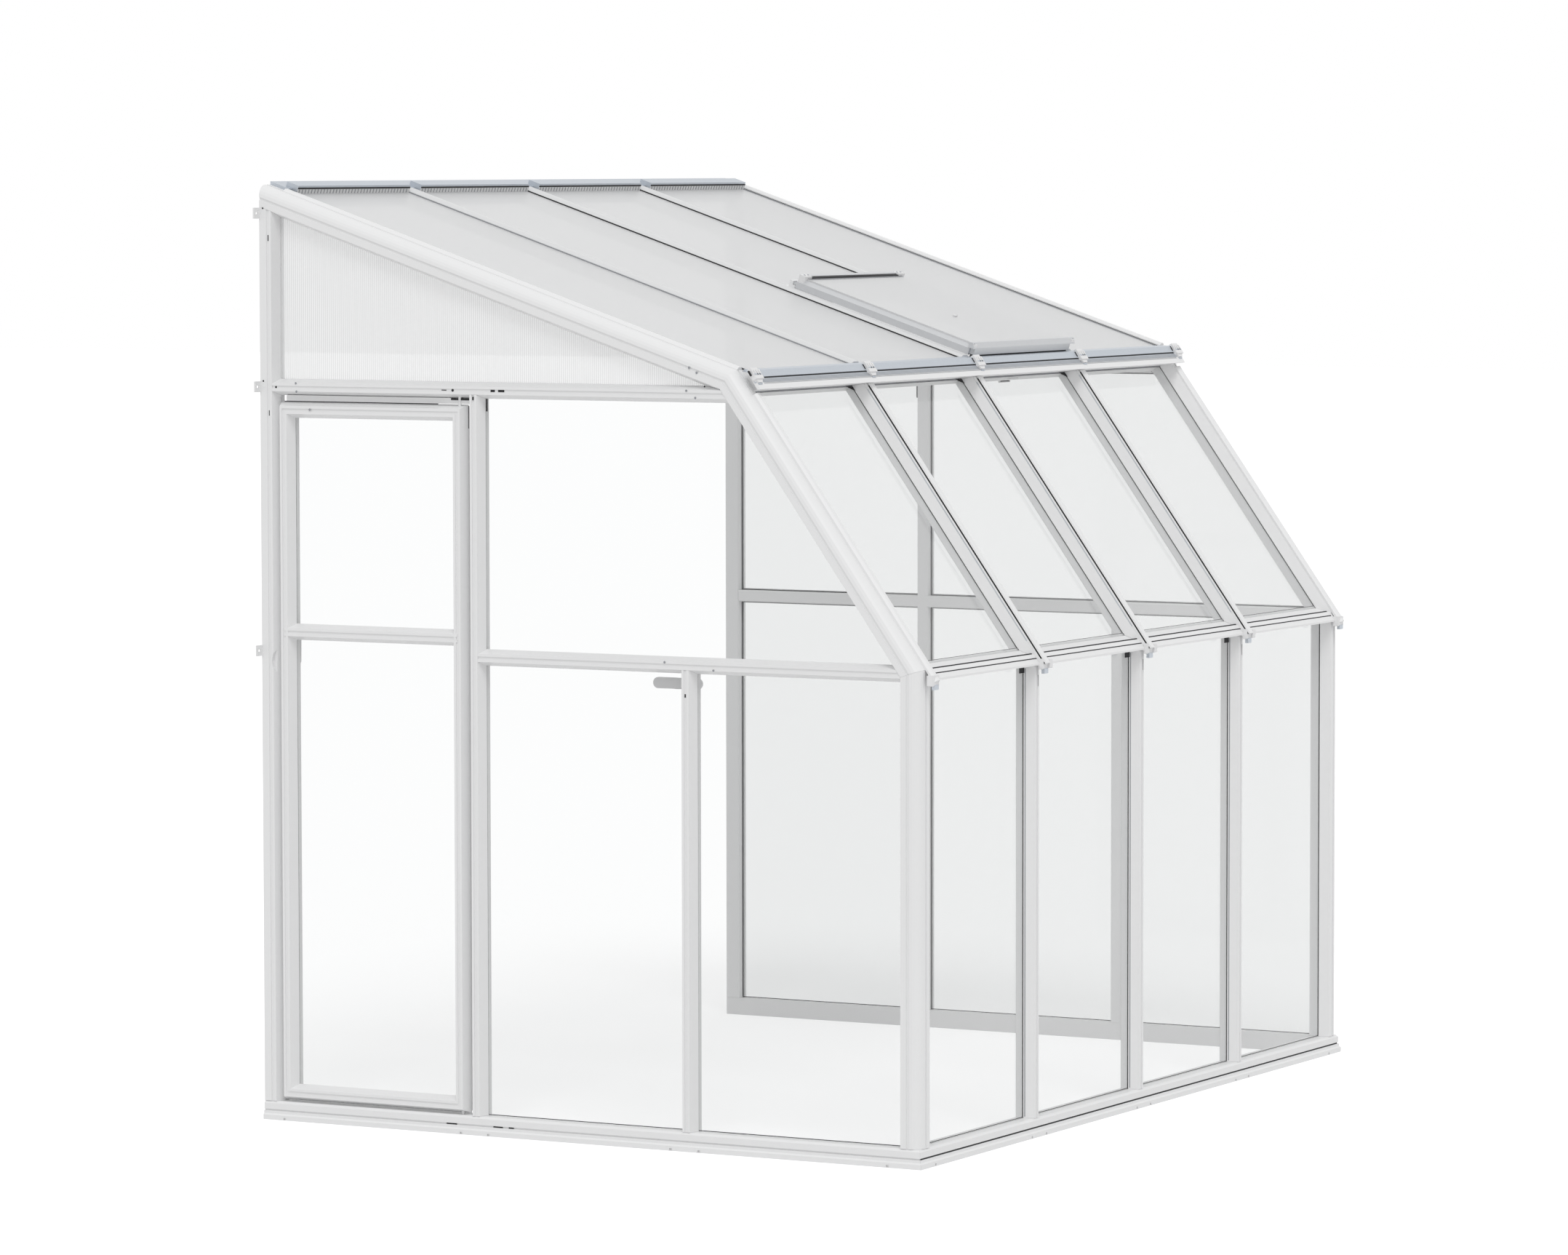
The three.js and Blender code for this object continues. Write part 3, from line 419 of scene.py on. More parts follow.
@dataclass(frozen=True)
class TwinSheet:
    """Milky twin-wall sheet whose ribs show as fine lines."""

    name: str
    across: Triple
    colour: Colour
    alpha: Point = (0.72, 0.9)
    pitch: float = 0.0062
    rib_wide: float = 0.22
    rib_shade: float = 0.93
    roughness: float = 0.35
    lets_through: float = 0.82

    def build(self, ribs: NodeTree) -> Material:
        """Makes the material.

        Args:
            ribs: The shared rib group.

        Returns:
            The material.
        """
        mat, graph, shader = new_material(self.name)
        ribbed = {"Pitch": self.pitch, "Width": self.rib_wide, "Along": self.across}
        mask = graph.add("ShaderNodeGroup", ribbed, node_tree=ribs).outputs["Mask"]
        ends = {"A": (*self.colour, 1.0), "B": (*(c * self.rib_shade for c in self.colour), 1.0)}
        tone = graph.add("ShaderNodeMix", {"Factor": mask, **ends}, data_type="RGBA")
        see = graph.add("ShaderNodeMapRange", {"Value": mask, "To Min": self.alpha[0], "To Max": self.alpha[1]})
        graph.feed(shader, {"Base Color": tone.outputs["Result"], "Alpha": see.outputs["Result"]})
        graph.feed(shader, {"Roughness": self.roughness})
        graph.let_light_in(shader, (self.lets_through,) * 3)
        return mat


@dataclass(frozen=True)
class Palette:
    """Every finish."""

    white: Material
    metal: Material
    cap: Material
    plastic: Material
    rubber: Material
    seam: Material
    roof_bar: Material
    screw: Material
    clear: Material
    roof_sheet: Material
    gable_sheet: Material

    @classmethod
    def build(cls) -> "Palette":
        """Builds the shared groups and each finish.

        Returns:
            The palette.
        """
        speckle, ribs = speckle_group(), ribs_group()
        coats = {
            "white": Coat("white_coat", (0.83, 0.832, 0.835), 0.38, 0.0, 60.0, 0.02),
            "metal": Coat("bare_aluminium", (0.56, 0.6, 0.65), 0.42, 0.6, 120.0, 0.1),
            "cap": Coat("grey_aluminium", (0.62, 0.63, 0.645), 0.45, 0.4, 90.0, 0.05),
            "plastic": Coat("white_plastic", (0.82, 0.82, 0.825), 0.5, 0.0, 30.0, 0.03),
            # Black rubber; the same black is also painted shade under the vent's bottom bar, in the gap at the door's
            # head and beside the kink connectors.
            "rubber": Coat("black_rubber_and_painted_shade", (0.012, 0.012, 0.014), 0.7, 0.0, 200.0, 0.2),
            "seam": Coat("grey_seam", (0.36, 0.37, 0.39), 0.6, 0.0, 150.0, 0.1),
            "roof_bar": Coat("roof_bar_coat", (0.72, 0.725, 0.73), 0.45, 0.0, 60.0, 0.02),
            "screw": Coat("zinc_screw", (0.3, 0.31, 0.33), 0.35, 0.9, 300.0, 0.1),
        }
        roof = TwinSheet("twin_wall_roof", (1.0, 0.0, 0.0), (0.72, 0.725, 0.73))
        gable = TwinSheet("twin_wall_gable", (0.0, 1.0, 0.0), (0.86, 0.865, 0.87), (0.38, 0.62))
        return cls(
            **{name: coat.build(speckle) for name, coat in coats.items()},
            clear=ClearSheet().build(),
            roof_sheet=roof.build(ribs),
            gable_sheet=gable.build(ribs),
        )

    def of_slot(self, slot: str, node: str) -> Material:
        """Returns the finish of a node.

        Args:
            slot: The record's material slot.
            node: The node's name.

        Returns:
            The material.
        """
        if node == "vent_frame":
            return self.cap
        if node.startswith("roof_rafter"):
            return self.roof_bar
        return {
            Slot.TWIN: self.gable_sheet if node.startswith("gable") else self.roof_sheet,
            Slot.WHITE: self.white,
            Slot.PANE: self.clear,
            Slot.METAL: self.metal,
            Slot.PLASTIC: self.plastic,
        }[Slot(slot)]


# --- mesh helpers ---


def placed(name: str, data: ID) -> Object:
    """Makes an object of some data and sets it in the scene.

    Args:
        name: The object's name.
        data: Its mesh, camera or lamp.

    Returns:
        The object.
    """
    thing = bpy.data.objects.new(name, data)
    bpy.context.scene.collection.objects.link(thing)
    return thing


def mesh_of(
    name: str, points: Sequence[Vector], links: Sequence[Sequence[int]] = (), faces: Sequence[Sequence[int]] = ()
) -> Mesh:
    """Makes a plain mesh.

    Args:
        name: Its name.
        points: Its points.
        links: The points of each edge.
        faces: The points of each face.

    Returns:
        The mesh.
    """
    mesh = bpy.data.meshes.new(name)
    mesh.from_pydata(points, links, faces)
    return mesh


def middles(start: float, end: float, pitch: float) -> list[float]:
    """Returns the middles of as many equal steps as fit between two places."""
    return [start + pitch * (i + 0.5) for i in range(int((end - start) / pitch))]


def finish_piece(name: str, mesh: Mesh, material: Material, body: Body) -> None:
    """Makes a mesh an object of the scene that rides on a body.

    Args:
        name: The piece's name.
        mesh: Its mesh, in the scene's place.
        material: Its finish.
        body: What it rides on.
    """
    piece = placed(name, mesh)
    if not mesh.materials:
        mesh.materials.append(material)
    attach(piece, body.value)
    log.info("%s: %d faces", name, len(mesh.polygons))


def prism(bm: BMesh, ring: Sequence[Vector], travel: Vector) -> None:
    """Adds a closed prism.

    Args:
        bm: The mesh that it is added to.
        ring: The corners of one end.
        travel: The way to the other end.
    """
    low = [bm.verts.new(p) for p in ring]
    high = [bm.verts.new(p + travel) for p in ring]
    count = len(ring)
    faces = [bm.faces.new(low), bm.faces.new(high[::-1])]
    for i in range(count):
        j = (i + 1) % count
        faces.append(bm.faces.new((low[j], low[i], high[i], high[j])))
    bmesh.ops.recalc_face_normals(bm, faces=faces)


def ease(bm: BMesh, width: float) -> None:
    """Eases a mesh's sharp edges by a width in metres."""
    sharp = [e for e in bm.edges if e.is_manifold and e.calc_face_angle() > SHARP_EDGE]
    bmesh.ops.bevel(bm, geom=sharp, offset=width, segments=EASE_STEPS, affect="EDGES", clamp_overlap=True)


class Piece:
    """Closed prisms of one finish that ride on one body; measures are millimetres on a face."""

    def __init__(self, name: str, material: Material, body: Body = Body.FRAME, slot: Slot = Slot.WHITE) -> None:
        """Starts an empty piece; its slot is kept but not used."""
        self.name, self.material, self.body, self.slot = name, material, body, slot
        self.bm = bmesh.new()

    def plate(self, face: Face, ring: Iterable[Point], up: Point) -> None:
        """Adds a flat plate from its corners' u and v, and where it starts and ends above a face."""
        prism(self.bm, [face.at(u, v, up[0]) for u, v in ring], face.out * (up[1] - up[0]) * MM)

    def block(self, face: Face, across: Point, along: Point, up: Point) -> None:
        """Adds a block from its spans in u, in v and above a face."""
        (left, right), (low, high) = across, along
        self.plate(face, ((left, low), (right, low), (right, high), (left, high)), up)

    def boxes(self, face: Face, x: float, *many: Spans, turn: int = 1) -> None:
        """Adds blocks, each from its spans beside a line, along it and above a face; a turn of -1 mirrors them."""
        for beside, along, up in many:
            self.block(face, tuple(sorted(x + turn * u for u in beside)), along, up)

    def stripe(self, face: Face, start: Point, end: Point, wide: float, up: Point) -> None:
        """Adds a straight stripe from one point of a face to another.

        Args:
            face: The face that it lies on.
            start: Its first u and v.
            end: Its last u and v.
            wide: Its width.
            up: Where it starts and ends above the face.
        """
        way = Vector((end[0] - start[0], end[1] - start[1])).normalized() * wide / 2
        ends = ((start, 1), (end, 1), (end, -1), (start, -1))
        self.plate(face, [(p[0] + turn * way.y, p[1] - turn * way.x) for p, turn in ends], up)

    def dot(self, face: Face, centre: Point, radius: float, up: Point, sides: int = 10) -> None:
        """Adds a round spot from its middle's u and v, and where it starts and ends above a face."""
        turns = [math.tau * i / sides for i in range(sides)]
        self.plate(face, [(centre[0] + radius * math.cos(t), centre[1] + radius * math.sin(t)) for t in turns], up)

    def rail(self, outline: Sequence[Point], start: float, end: float) -> None:
        """Adds a bar along X from its section in the YZ plane of the scene."""
        ring = [Vector((start, *p)) * MM for p in outline]
        prism(self.bm, ring, Vector(((end - start) * MM, 0.0, 0.0)))

    def flanks(self, face: Face, x: float, drops: Point, prouds: Point, ends: Point, flank: float, top: float) -> None:
        """Adds a strip on both sloping flanks of a bar.

        Args:
            face: The face that the bar lies on.
            x: The bar's line.
            drops: Where the strip starts and ends below the bar's top.
            prouds: How far its two sides stand out of the flank.
            ends: Where it starts and ends along the bar.
            flank: How far down the flank reaches its full width.
            top: Height of the bar's top above the face.
        """
        slant = (SIZES.hood_half - SIZES.strip) / flank
        section = ((drops[0], prouds[0]), (drops[1], prouds[0]), (drops[1], prouds[1]), (drops[0], prouds[1]))
        for side in (-1, 1):
            outline = [(x + side * (SIZES.strip + slant * drop + proud), top - drop) for drop, proud in section]
            prism(self.bm, [face.at(u, ends[0], up) for u, up in outline], face.v * (ends[1] - ends[0]) * MM)

    def build(self, bevel: float = 0.0) -> None:
        """Ends the piece.

        Args:
            bevel: Width of its eased edges, or zero.
        """
        if bevel:
            ease(self.bm, bevel * MM)
        mesh = bpy.data.meshes.new(self.name)
        self.bm.to_mesh(mesh)
        self.bm.free()
        finish_piece(self.name, mesh, self.material, self.body)


# --- repeated pieces ---


class Grower(Graph):
    """A Geometry Nodes tree that grows a piece of one finish from a plain mesh."""

    def __init__(self, name: str, sizes: dict[str, tuple[str, object]]) -> None:
        """Starts the tree.

        Args:
            name: The tree's name.
            sizes: Each size's type and default.
        """
        ins = {"Geometry": ("Geometry", None), **sizes, "Finish": ("Material", None)}
        super().__init__(new_group(name, "GeometryNodeTree", ins, {"Geometry": "Geometry"}).tree)
        self.given = self.add("NodeGroupInput").outputs

    def on_points(self, mesh: NodeSocket, turn: NodeSocket) -> NodeTree:
        """Sets a mesh on every point of the source, and ends and returns the tree."""
        inputs = {"Points": self.given["Geometry"], "Instance": mesh, "Rotation": turn}
        return self.end(self.add("GeometryNodeInstanceOnPoints", inputs).outputs["Instances"])

    def end(self, shape: NodeSocket) -> NodeTree:
        """Ends the tree.

        Args:
            shape: The geometry that it has grown.

        Returns:
            The tree.
        """
        real = self.add("GeometryNodeRealizeInstances", {"Geometry": shape}).outputs["Geometry"]
        inputs = {"Geometry": real, "Material": self.given["Finish"]}
        paint = self.add("GeometryNodeSetMaterial", inputs).outputs["Geometry"]
        self.add("NodeGroupOutput", {"Geometry": paint})
        return self.tree


def bead_tree() -> NodeTree:
    """Builds the tree that lays a round bead along a mesh's edges.

    Returns:
        The tree.
    """
    tree = Grower("gasket_bead", {"Radius": ("Float", 0.0016), "Sides": ("Int", 6)})
    path = tree.add("GeometryNodeMeshToCurve", {"Mesh": tree.given["Geometry"]}).outputs["Curve"]
    section = {"Resolution": tree.given["Sides"], "Radius": tree.given["Radius"]}
    ring = tree.add("GeometryNodeCurvePrimitiveCircle", section).outputs["Curve"]
    tube = tree.add("GeometryNodeCurveToMesh", {"Curve": path, "Profile Curve": ring, "Fill Caps": True})
    return tree.end(tube.outputs["Mesh"])


def screw_tree() -> NodeTree:
    """Builds the tree that sets a domed screw head on every point, turned to its facing.

    Returns:
        The tree.
    """
    sizes = {"Radius": ("Float", 0.004), "Height": ("Float", 0.002), "Sides": ("Int", 10), "Dome": ("Float", 0.62)}
    tree = Grower("screw_heads", sizes)
    given = tree.given
    top = tree.maths("MULTIPLY", given["Radius"], given["Dome"])
    cone = {"Vertices": given["Sides"], "Radius Top": top, "Radius Bottom": given["Radius"], "Depth": given["Height"]}
    head = tree.add("GeometryNodeMeshCone", cone).outputs["Mesh"]
    facing = tree.add("GeometryNodeInputNamedAttribute", {"Name": "facing"}, data_type="FLOAT_VECTOR")
    turn = tree.add("FunctionNodeAlignRotationToVector", {"Vector": facing.outputs["Attribute"]})
    return tree.on_points(head, turn.outputs["Rotation"])


def teeth_tree() -> NodeTree:
    """Builds the tree that sets the same small block on every point, all turned alike.

    Returns:
        The tree.
    """
    tree = Grower(TEETH, {"Size": ("Vector", None), "Turn": ("Rotation", None)})
    tooth = tree.add("GeometryNodeMeshCube", {"Size": tree.given["Size"]}).outputs["Mesh"]
    return tree.on_points(tooth, tree.given["Turn"])


def grow(name: str, tree: NodeTree, source: Mesh, values: Feed, body: Body) -> None:
    """Grows a piece from a mesh with a Geometry Nodes tree and keeps it as a plain mesh.

    Args:
        name: The piece's name.
        tree: The tree.
        source: What the tree starts from.
        values: The tree's named inputs, its Finish among them.
        body: What it rides on.
    """
    holder = placed(name + "_source", source)
    modifier = holder.modifiers.new("grow", "NODES")
    modifier.node_group = tree
    for item in tree.interface.items_tree:
        if item.item_type == "SOCKET" and item.in_out == "INPUT" and item.name in values:
            modifier[item.identifier] = values[item.name]
    holder.update_tag()
    bpy.context.view_layer.update()
    graph = bpy.context.evaluated_depsgraph_get()
    mesh = bpy.data.meshes.new_from_object(holder.evaluated_get(graph))
    mesh.name = name
    holder.modifiers.remove(modifier)
    bpy.data.objects.remove(holder)
    finish_piece(name, mesh, values["Finish"], body)


def teeth_row(name: str, points: Sequence[Vector], face: Face, tooth: Triple, finish: Material, body: Body) -> None:
    """Grows a row of small teeth on a face that rises with Y.

    Args:
        name: The piece's name.
        points: The middle of each tooth.
        face: The face that they lie on.
        tooth: A tooth's width, length and height in millimetres.
        finish: Their finish.
        body: What they ride on.
    """
    turn = (math.atan2(face.v.z, face.v.y), 0.0, 0.0)
    tree = bpy.data.node_groups.get(TEETH) or teeth_tree()
    values = {"Size": [v * MM for v in tooth], "Turn": turn, "Finish": finish}
    grow(name, tree, mesh_of("tooth_points", points), values, body)


# --- sub-assemblies ---


@dataclass
class SolidsDress:
    """Gives every carried-over solid its finish."""

    palette: Palette

    def dress(self) -> None:
        """Sets the finishes."""
        slots = {s["node"]: s["material_slot"] for s in frame["record"]["subparts"]}
        for name, node in frame["nodes"].items():
            node.data.materials.clear()
            node.data.materials.append(self.palette.of_slot(slots[name], name))
        log.info("finishes on %d solids", len(slots))


@dataclass
class Gaskets:
    """Dark rubber beads round every clear pane, inside the frame's pockets."""

    palette: Palette
    radius: float = 1.25
    slope_radius: float = 0.9
    pocket_inset: float = 7.4
    butt_inset: float = 1.9
    foot_inset: float = 17.7
    sides: int = 6
    sunk: float = 0.9
    near_ground: float = 0.1
    straight: float = 1e-9

    def outline(self, node: str) -> tuple[list[Vector], Vector]:
        """Finds a pane's outline and its outward direction.

        Args:
            node: The pane's node.

        Returns:
            The corners in order on the pane's middle plane, and its normal out of the room.
        """
        mesh = frame["nodes"][node].data
        points = [v.co.copy() for v in mesh.vertices]
        middle = sum(points, Vector()) / len(points)
        if "slope" in node:
            out = SIZES.slope.face().out
        else:
            out = -BACK if node.startswith("front") else ACROSS * math.copysign(1.0, middle.x)
        across = out.cross(UP).normalized()
        up = across.cross(out).normalized()
        flat = sorted({(round((p - middle).dot(across), 5), round((p - middle).dot(up), 5)) for p in points})
        hull: list[Point] = []
        for ordered in (flat, flat[::-1]):
            part: list[Point] = []
            for p in ordered:
                while len(part) > 1 and self.turn(part[-2], part[-1], p) <= self.straight:
                    part.pop()
                part.append(p)
            hull += part[:-1]
        return [middle + across * a + up * b for a, b in hull], out

    @staticmethod
    def turn(a: Point, b: Point, c: Point) -> float:
        """Returns the turn at b, positive to the left."""
        return (b[0] - a[0]) * (c[1] - a[1]) - (b[1] - a[1]) * (c[0] - a[0])

    def inset(self, node: str, low: Vector, high: Vector) -> float:
        """Says how far the bead lies in from one edge of a pane.

        Args:
            node: The pane's node.
            low: One end of the edge.
            high: The other end.

        Returns:
            The distance from the pane's edge to the bead's middle.
        """
        level = abs(high.z - low.z) < LEVEL
        box_low, box_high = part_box(node)
        at_foot = level and low.z < (box_low.z + box_high.z) / 2
        if "slope" in node:
            return self.foot_inset if at_foot else self.butt_inset if level else self.pocket_inset
        if node.startswith("front"):
            return self.butt_inset if level else self.pocket_inset
        if node.startswith("door"):
            return self.pocket_inset
        return self.butt_inset if at_foot and low.z < self.near_ground else self.pocket_inset

    def loop(self, node: str) -> list[Vector]:
        """Finds the bead's path round a pane.

        Args:
            node: The pane's node.

        Returns:
            The path's corners.
        """
        corners, out = self.outline(node)
        count = len(corners)
        middle = sum(corners, Vector()) / count
        edges = []
        for i, here in enumerate(corners):
            there = corners[(i + 1) % count]
            along = (there - here).normalized()
            inward = out.cross(along).normalized()
            if (middle - here).dot(inward) < 0:
                inward = -inward
            edges.append((here + inward * self.inset(node, here, there) * MM, along))
        path = []
        lift = -out * (SIZES.pane / 2 + self.radius * self.sunk) * MM
        for i in range(count):
            (p, a), (q, b) = edges[i - 1], edges[i]
            normal = out.cross(b)
            distance = (q - p).dot(normal) / a.dot(normal)
            path.append(p + a * distance + lift)
        return path

    def build(self) -> None:
        """Lays the beads on the frame's and the door's panes."""
        tree = bead_tree()
        panes = sorted(n for n in frame["nodes"] if "pane" in n and "panel" not in n)
        groups = (
            ("gaskets_frame", Body.FRAME, self.radius, [n for n in panes if not n.startswith(("door", "slope"))]),
            ("gaskets_slope", Body.FRAME, self.slope_radius, [n for n in panes if n.startswith("slope")]),
            ("gaskets_door", Body.DOOR, self.radius, [n for n in panes if n.startswith("door")]),
        )
        for name, body, radius, chosen in groups:
            verts, links = [], []
            for node in chosen:
                path = self.loop(node)
                first = len(verts)
                verts += path
                links += [(first + i, first + (i + 1) % len(path)) for i in range(len(path))]
            values = {"Radius": radius * MM, "Sides": self.sides, "Finish": self.palette.rubber}
            grow(name, tree, mesh_of("gasket_paths", verts, links), values, body)


@dataclass
class ScrewHeads:
    """Small screw heads, gathered by body and grown together."""

    palette: Palette
    radius: float = 3.2
    height: float = 1.6
    places: dict[Body, list[tuple[Vector, Vector]]] = field(default_factory=dict)

    def add(self, body: Body, face: Face, centre: Point, up: float = 0.0) -> None:
        """Sets one head at a centre's u and v, on a surface that lies up above a face."""
        self.places.setdefault(body, []).append((face.at(*centre, up + self.height / 2), face.out))

    def build(self) -> None:
        """Grows every head."""
        tree = screw_tree()
        values = {"Radius": self.radius * MM, "Height": self.height * MM, "Finish": self.palette.screw}
        for body, heads in self.places.items():
            source = mesh_of("screw_points", [place for place, _ in heads])
            facing = source.attributes.new("facing", "FLOAT_VECTOR", "POINT")
            for item, (_, out) in zip(facing.data, heads):
                item.vector = out
            grow(f"screws_{body.value}", tree, source, values, body)


@dataclass
class SlopeBars:
    """What the slope's rafters carry: rubber and fine seams along their flanks, feet and pane corners."""

    palette: Palette
    rise: float = 14.0
    flank: float = 43.0
    slot: Spans = ((4.2, 7.8), (-0.2, -3.8), (-34.0, 853.0))
    seam: Spans = ((12.6, 14.2), (-0.2, -0.8), (42.0, 847.0))
    corner: tuple[Point, ...] = ((0.5, 879.4), (38.5, 879.4), (23.3, 871.4), (0.5, 862.4))
    corner_up: Point = (-29.2, -28.0)
    bracket: Spans = ((-16.0, 13.0), (1234.0, 1262.0), (12.0, 25.0))
    wing: Spans = ((12.0, 32.0), (1236.0, 1259.0), (16.0, 30.0))
    clip: Spans = ((-14.0, 9.0), (1223.0, 1236.0), (19.0, 28.0))
    mark: Spans = ((-3.0, -1.0), (1254.0, 1261.0), (25.0, 25.6))
    edge_line: float = 1261.0
    edge_bracket: Spans = ((-20.0, 14.0), (1232.0, 1260.0), (8.0, 27.0))
    foot_ease: float = 1.5
    clip_ease: float = 1.0

    def build(self) -> None:
        """Adds the rubber, the seams, the feet and the pane corners."""
        rubber = Piece("slope_bar_rubber", self.palette.rubber, slot=Slot.PLASTIC)
        seams = Piece("slope_bar_seams", self.palette.metal)
        feet = Piece("slope_bar_feet", self.palette.plastic, slot=Slot.PLASTIC)
        clips = Piece("slope_bar_clips", self.palette.metal, slot=Slot.METAL)
        front, slope = SIZES.front(), SIZES.slope.face()
        for line in range(1, SIZES.bays):
            x = SIZES.line_x(line)
            rubber.flanks(slope, x, *self.slot, self.flank, self.rise)
            seams.flanks(slope, x, *self.seam, self.flank, self.rise)
            for side in (-1, 1):
                ring = [(x + side * (SIZES.hood_half + u), v) for u, v in self.corner]
                rubber.plate(slope, ring, self.corner_up)
            feet.boxes(front, x, self.bracket, self.wing)
            clips.boxes(front, x, self.clip, self.mark)
        for side in (-1, 1):
            feet.boxes(front, side * self.edge_line, self.edge_bracket)
            clips.boxes(front, side * self.edge_line, self.clip)
        rubber.build()
        seams.build()
        feet.build(self.foot_ease)
        clips.build(self.clip_ease)


@dataclass
class FrontTrim:
    """Seams of the front posts, their pane stops, the eave's rubber and the front sill's rubber."""

    palette: Palette
    seam: Spans = ((24.0, 26.5), (0.3, -0.5), (54.0, 1236.0))
    stop: Spans = ((22.0, 48.0), (1224.0, 1238.0), (-29.2, -27.0))
    nick: Spans = ((4.2, 5.6), (1188.0, 1218.0), (-0.4, 0.3))
    slot: tuple[Point, Point] = ((2.3, 7.7), (-15.7, -6.0))
    lip: tuple[Point, Point] = ((-12.8, -9.8), (-2.6, -1.7))
    groove: Point = (24.2, 27.8)
    groove_up: Point = (-0.8, 1.9)
    groove_end: float = 6.0

    def build(self) -> None:
        """Adds the seams, stops and rubbers."""
        front, slope, reach = SIZES.front(), SIZES.slope, SIZES.inner_half
        seams = Piece("front_seams", self.palette.seam)
        rubber = Piece("front_rubber", self.palette.rubber, slot=Slot.PLASTIC)
        for line in range(1, SIZES.bays):
            x = SIZES.line_x(line)
            seams.flanks(front, x, *self.seam, SIZES.hood, 0.0)
            for side in (-1, 1):
                rubber.boxes(front, x, self.stop, turn=side)
            rubber.boxes(front, x, self.nick)
        for spans in (self.slot, self.lip):
            rubber.rail(slope.ring(*spans), -reach, reach)
        end = SIZES.half - self.groove_end
        rubber.block(front, (-end, end), self.groove, self.groove_up)
        seams.build()
        rubber.build()


@dataclass
class PurlinTrim:
    """The channel's dark groove, the gasket over the slope's panes and the connectors at the kink, with painted shade
    beside each connector.
    """

    palette: Palette
    groove: Point = (32.2, 35.9)
    groove_up: Point = (-2.8, 0.3)
    gasket: Point = (876.0, 879.5)
    gasket_up: Point = (-29.2, -28.0)
    gasket_gap: float = 0.6
    flutes: tuple[float, ...] = (15.5, 18.0, 21.0, 23.5, 26.0, 28.5)
    flute_wide: float = 1.2
    flute_up: Point = (-0.5, 0.3)
    catch: Spans = ((-27.0, 26.0), (1949.0, 1954.0), (-577.3, -576.9))
    gable_line: float = 1259.5
    body: Spans = ((-21.0, 21.0), (27.0, 55.0), (-3.0, 9.0))
    step: Spans = ((-18.0, 18.0), (52.0, 62.0), (-3.0, 7.0))
    rib: Spans = ((-3.0, 3.0), (44.5, 53.0), (9.0, 10.2))
    rib_places: tuple[float, ...] = (-12.6, 0.0, 12.6)
    tip: tuple[Point, ...] = ((-10.0, 18.0), (10.0, 18.0), (19.0, 28.0), (-19.0, 28.0))
    tip_up: Point = (-3.0, 5.0)
    band: Spans = ((-19.0, 19.0), (38.0, 42.5), (8.0, 9.5))
    foot: Spans = ((-10.0, 10.0), (14.0, 17.6), (-1.0, 2.5))
    # Painted shade: a black block beside each connector.
    shade: Spans = ((-27.0, -23.5), (40.0, 55.0), (-1.0, 3.2))
    spots: tuple[Point, ...] = ((-2.1, 40.25), (9.45, 40.25))
    spot_radius: float = 2.2
    spot_up: Point = (9.0, 9.8)
    block_ease: float = 2.0
    band_ease: float = 0.5

    def connectors(self, face: Face, rubber: Piece) -> None:
        """Adds the connector block, band and dark spots of every line, and a black block beside each that is painted
        shade.

        Args:
            face: The channel's face.
            rubber: The piece that the dark spots and the painted shade blocks are added to.
        """
        blocks = Piece("kink_connectors", self.palette.plastic, slot=Slot.PLASTIC)
        bands = Piece("kink_connector_bands", self.palette.metal, slot=Slot.METAL)
        for line in range(SIZES.bays + 1):
            x = max(-self.gable_line, min(self.gable_line, SIZES.line_x(line)))
            blocks.boxes(face, x, self.body, self.step)
            for place in self.rib_places:
                blocks.boxes(face, x + place, self.rib)
            blocks.plate(face, [(x + u, v) for u, v in self.tip], self.tip_up)
            bands.boxes(face, x, self.band, self.foot)
            for u, v in self.spots:
                rubber.dot(face, (x + u, v), self.spot_radius, self.spot_up)
            # Painted shade: the black block beside the connector.
            rubber.boxes(face, x, self.shade)
        rubber.build()
        blocks.build(self.block_ease)
        bands.build(self.band_ease)

    def build(self) -> None:
        """Adds all of it."""
        face, reach = SIZES.channel.face(), SIZES.inner_half
        rubber = Piece("purlin_rubber_and_shade", self.palette.rubber, slot=Slot.PLASTIC)
        gaskets = Piece("purlin_gaskets", self.palette.seam, slot=Slot.PLASTIC)
        rubber.block(face, (-reach, reach), self.groove, self.groove_up)
        for bay in range(SIZES.bays):
            ends = SIZES.bay_ends(bay, SIZES.hood_half + self.gasket_gap, SIZES.edge_reach)
            gaskets.block(SIZES.slope.face(), ends, self.gasket, self.gasket_up)
        gaskets.build()
        flutes = Piece("channel_flutes", self.palette.seam, slot=Slot.METAL)
        for t in self.flutes:
            flutes.block(face, (-reach, reach), (t, t + self.flute_wide), self.flute_up)
        flutes.build()
        rubber.boxes(SIZES.front(), SIZES.line_x(VENT_BAY) + SIZES.bay / 2, self.catch)
        self.connectors(face, rubber)


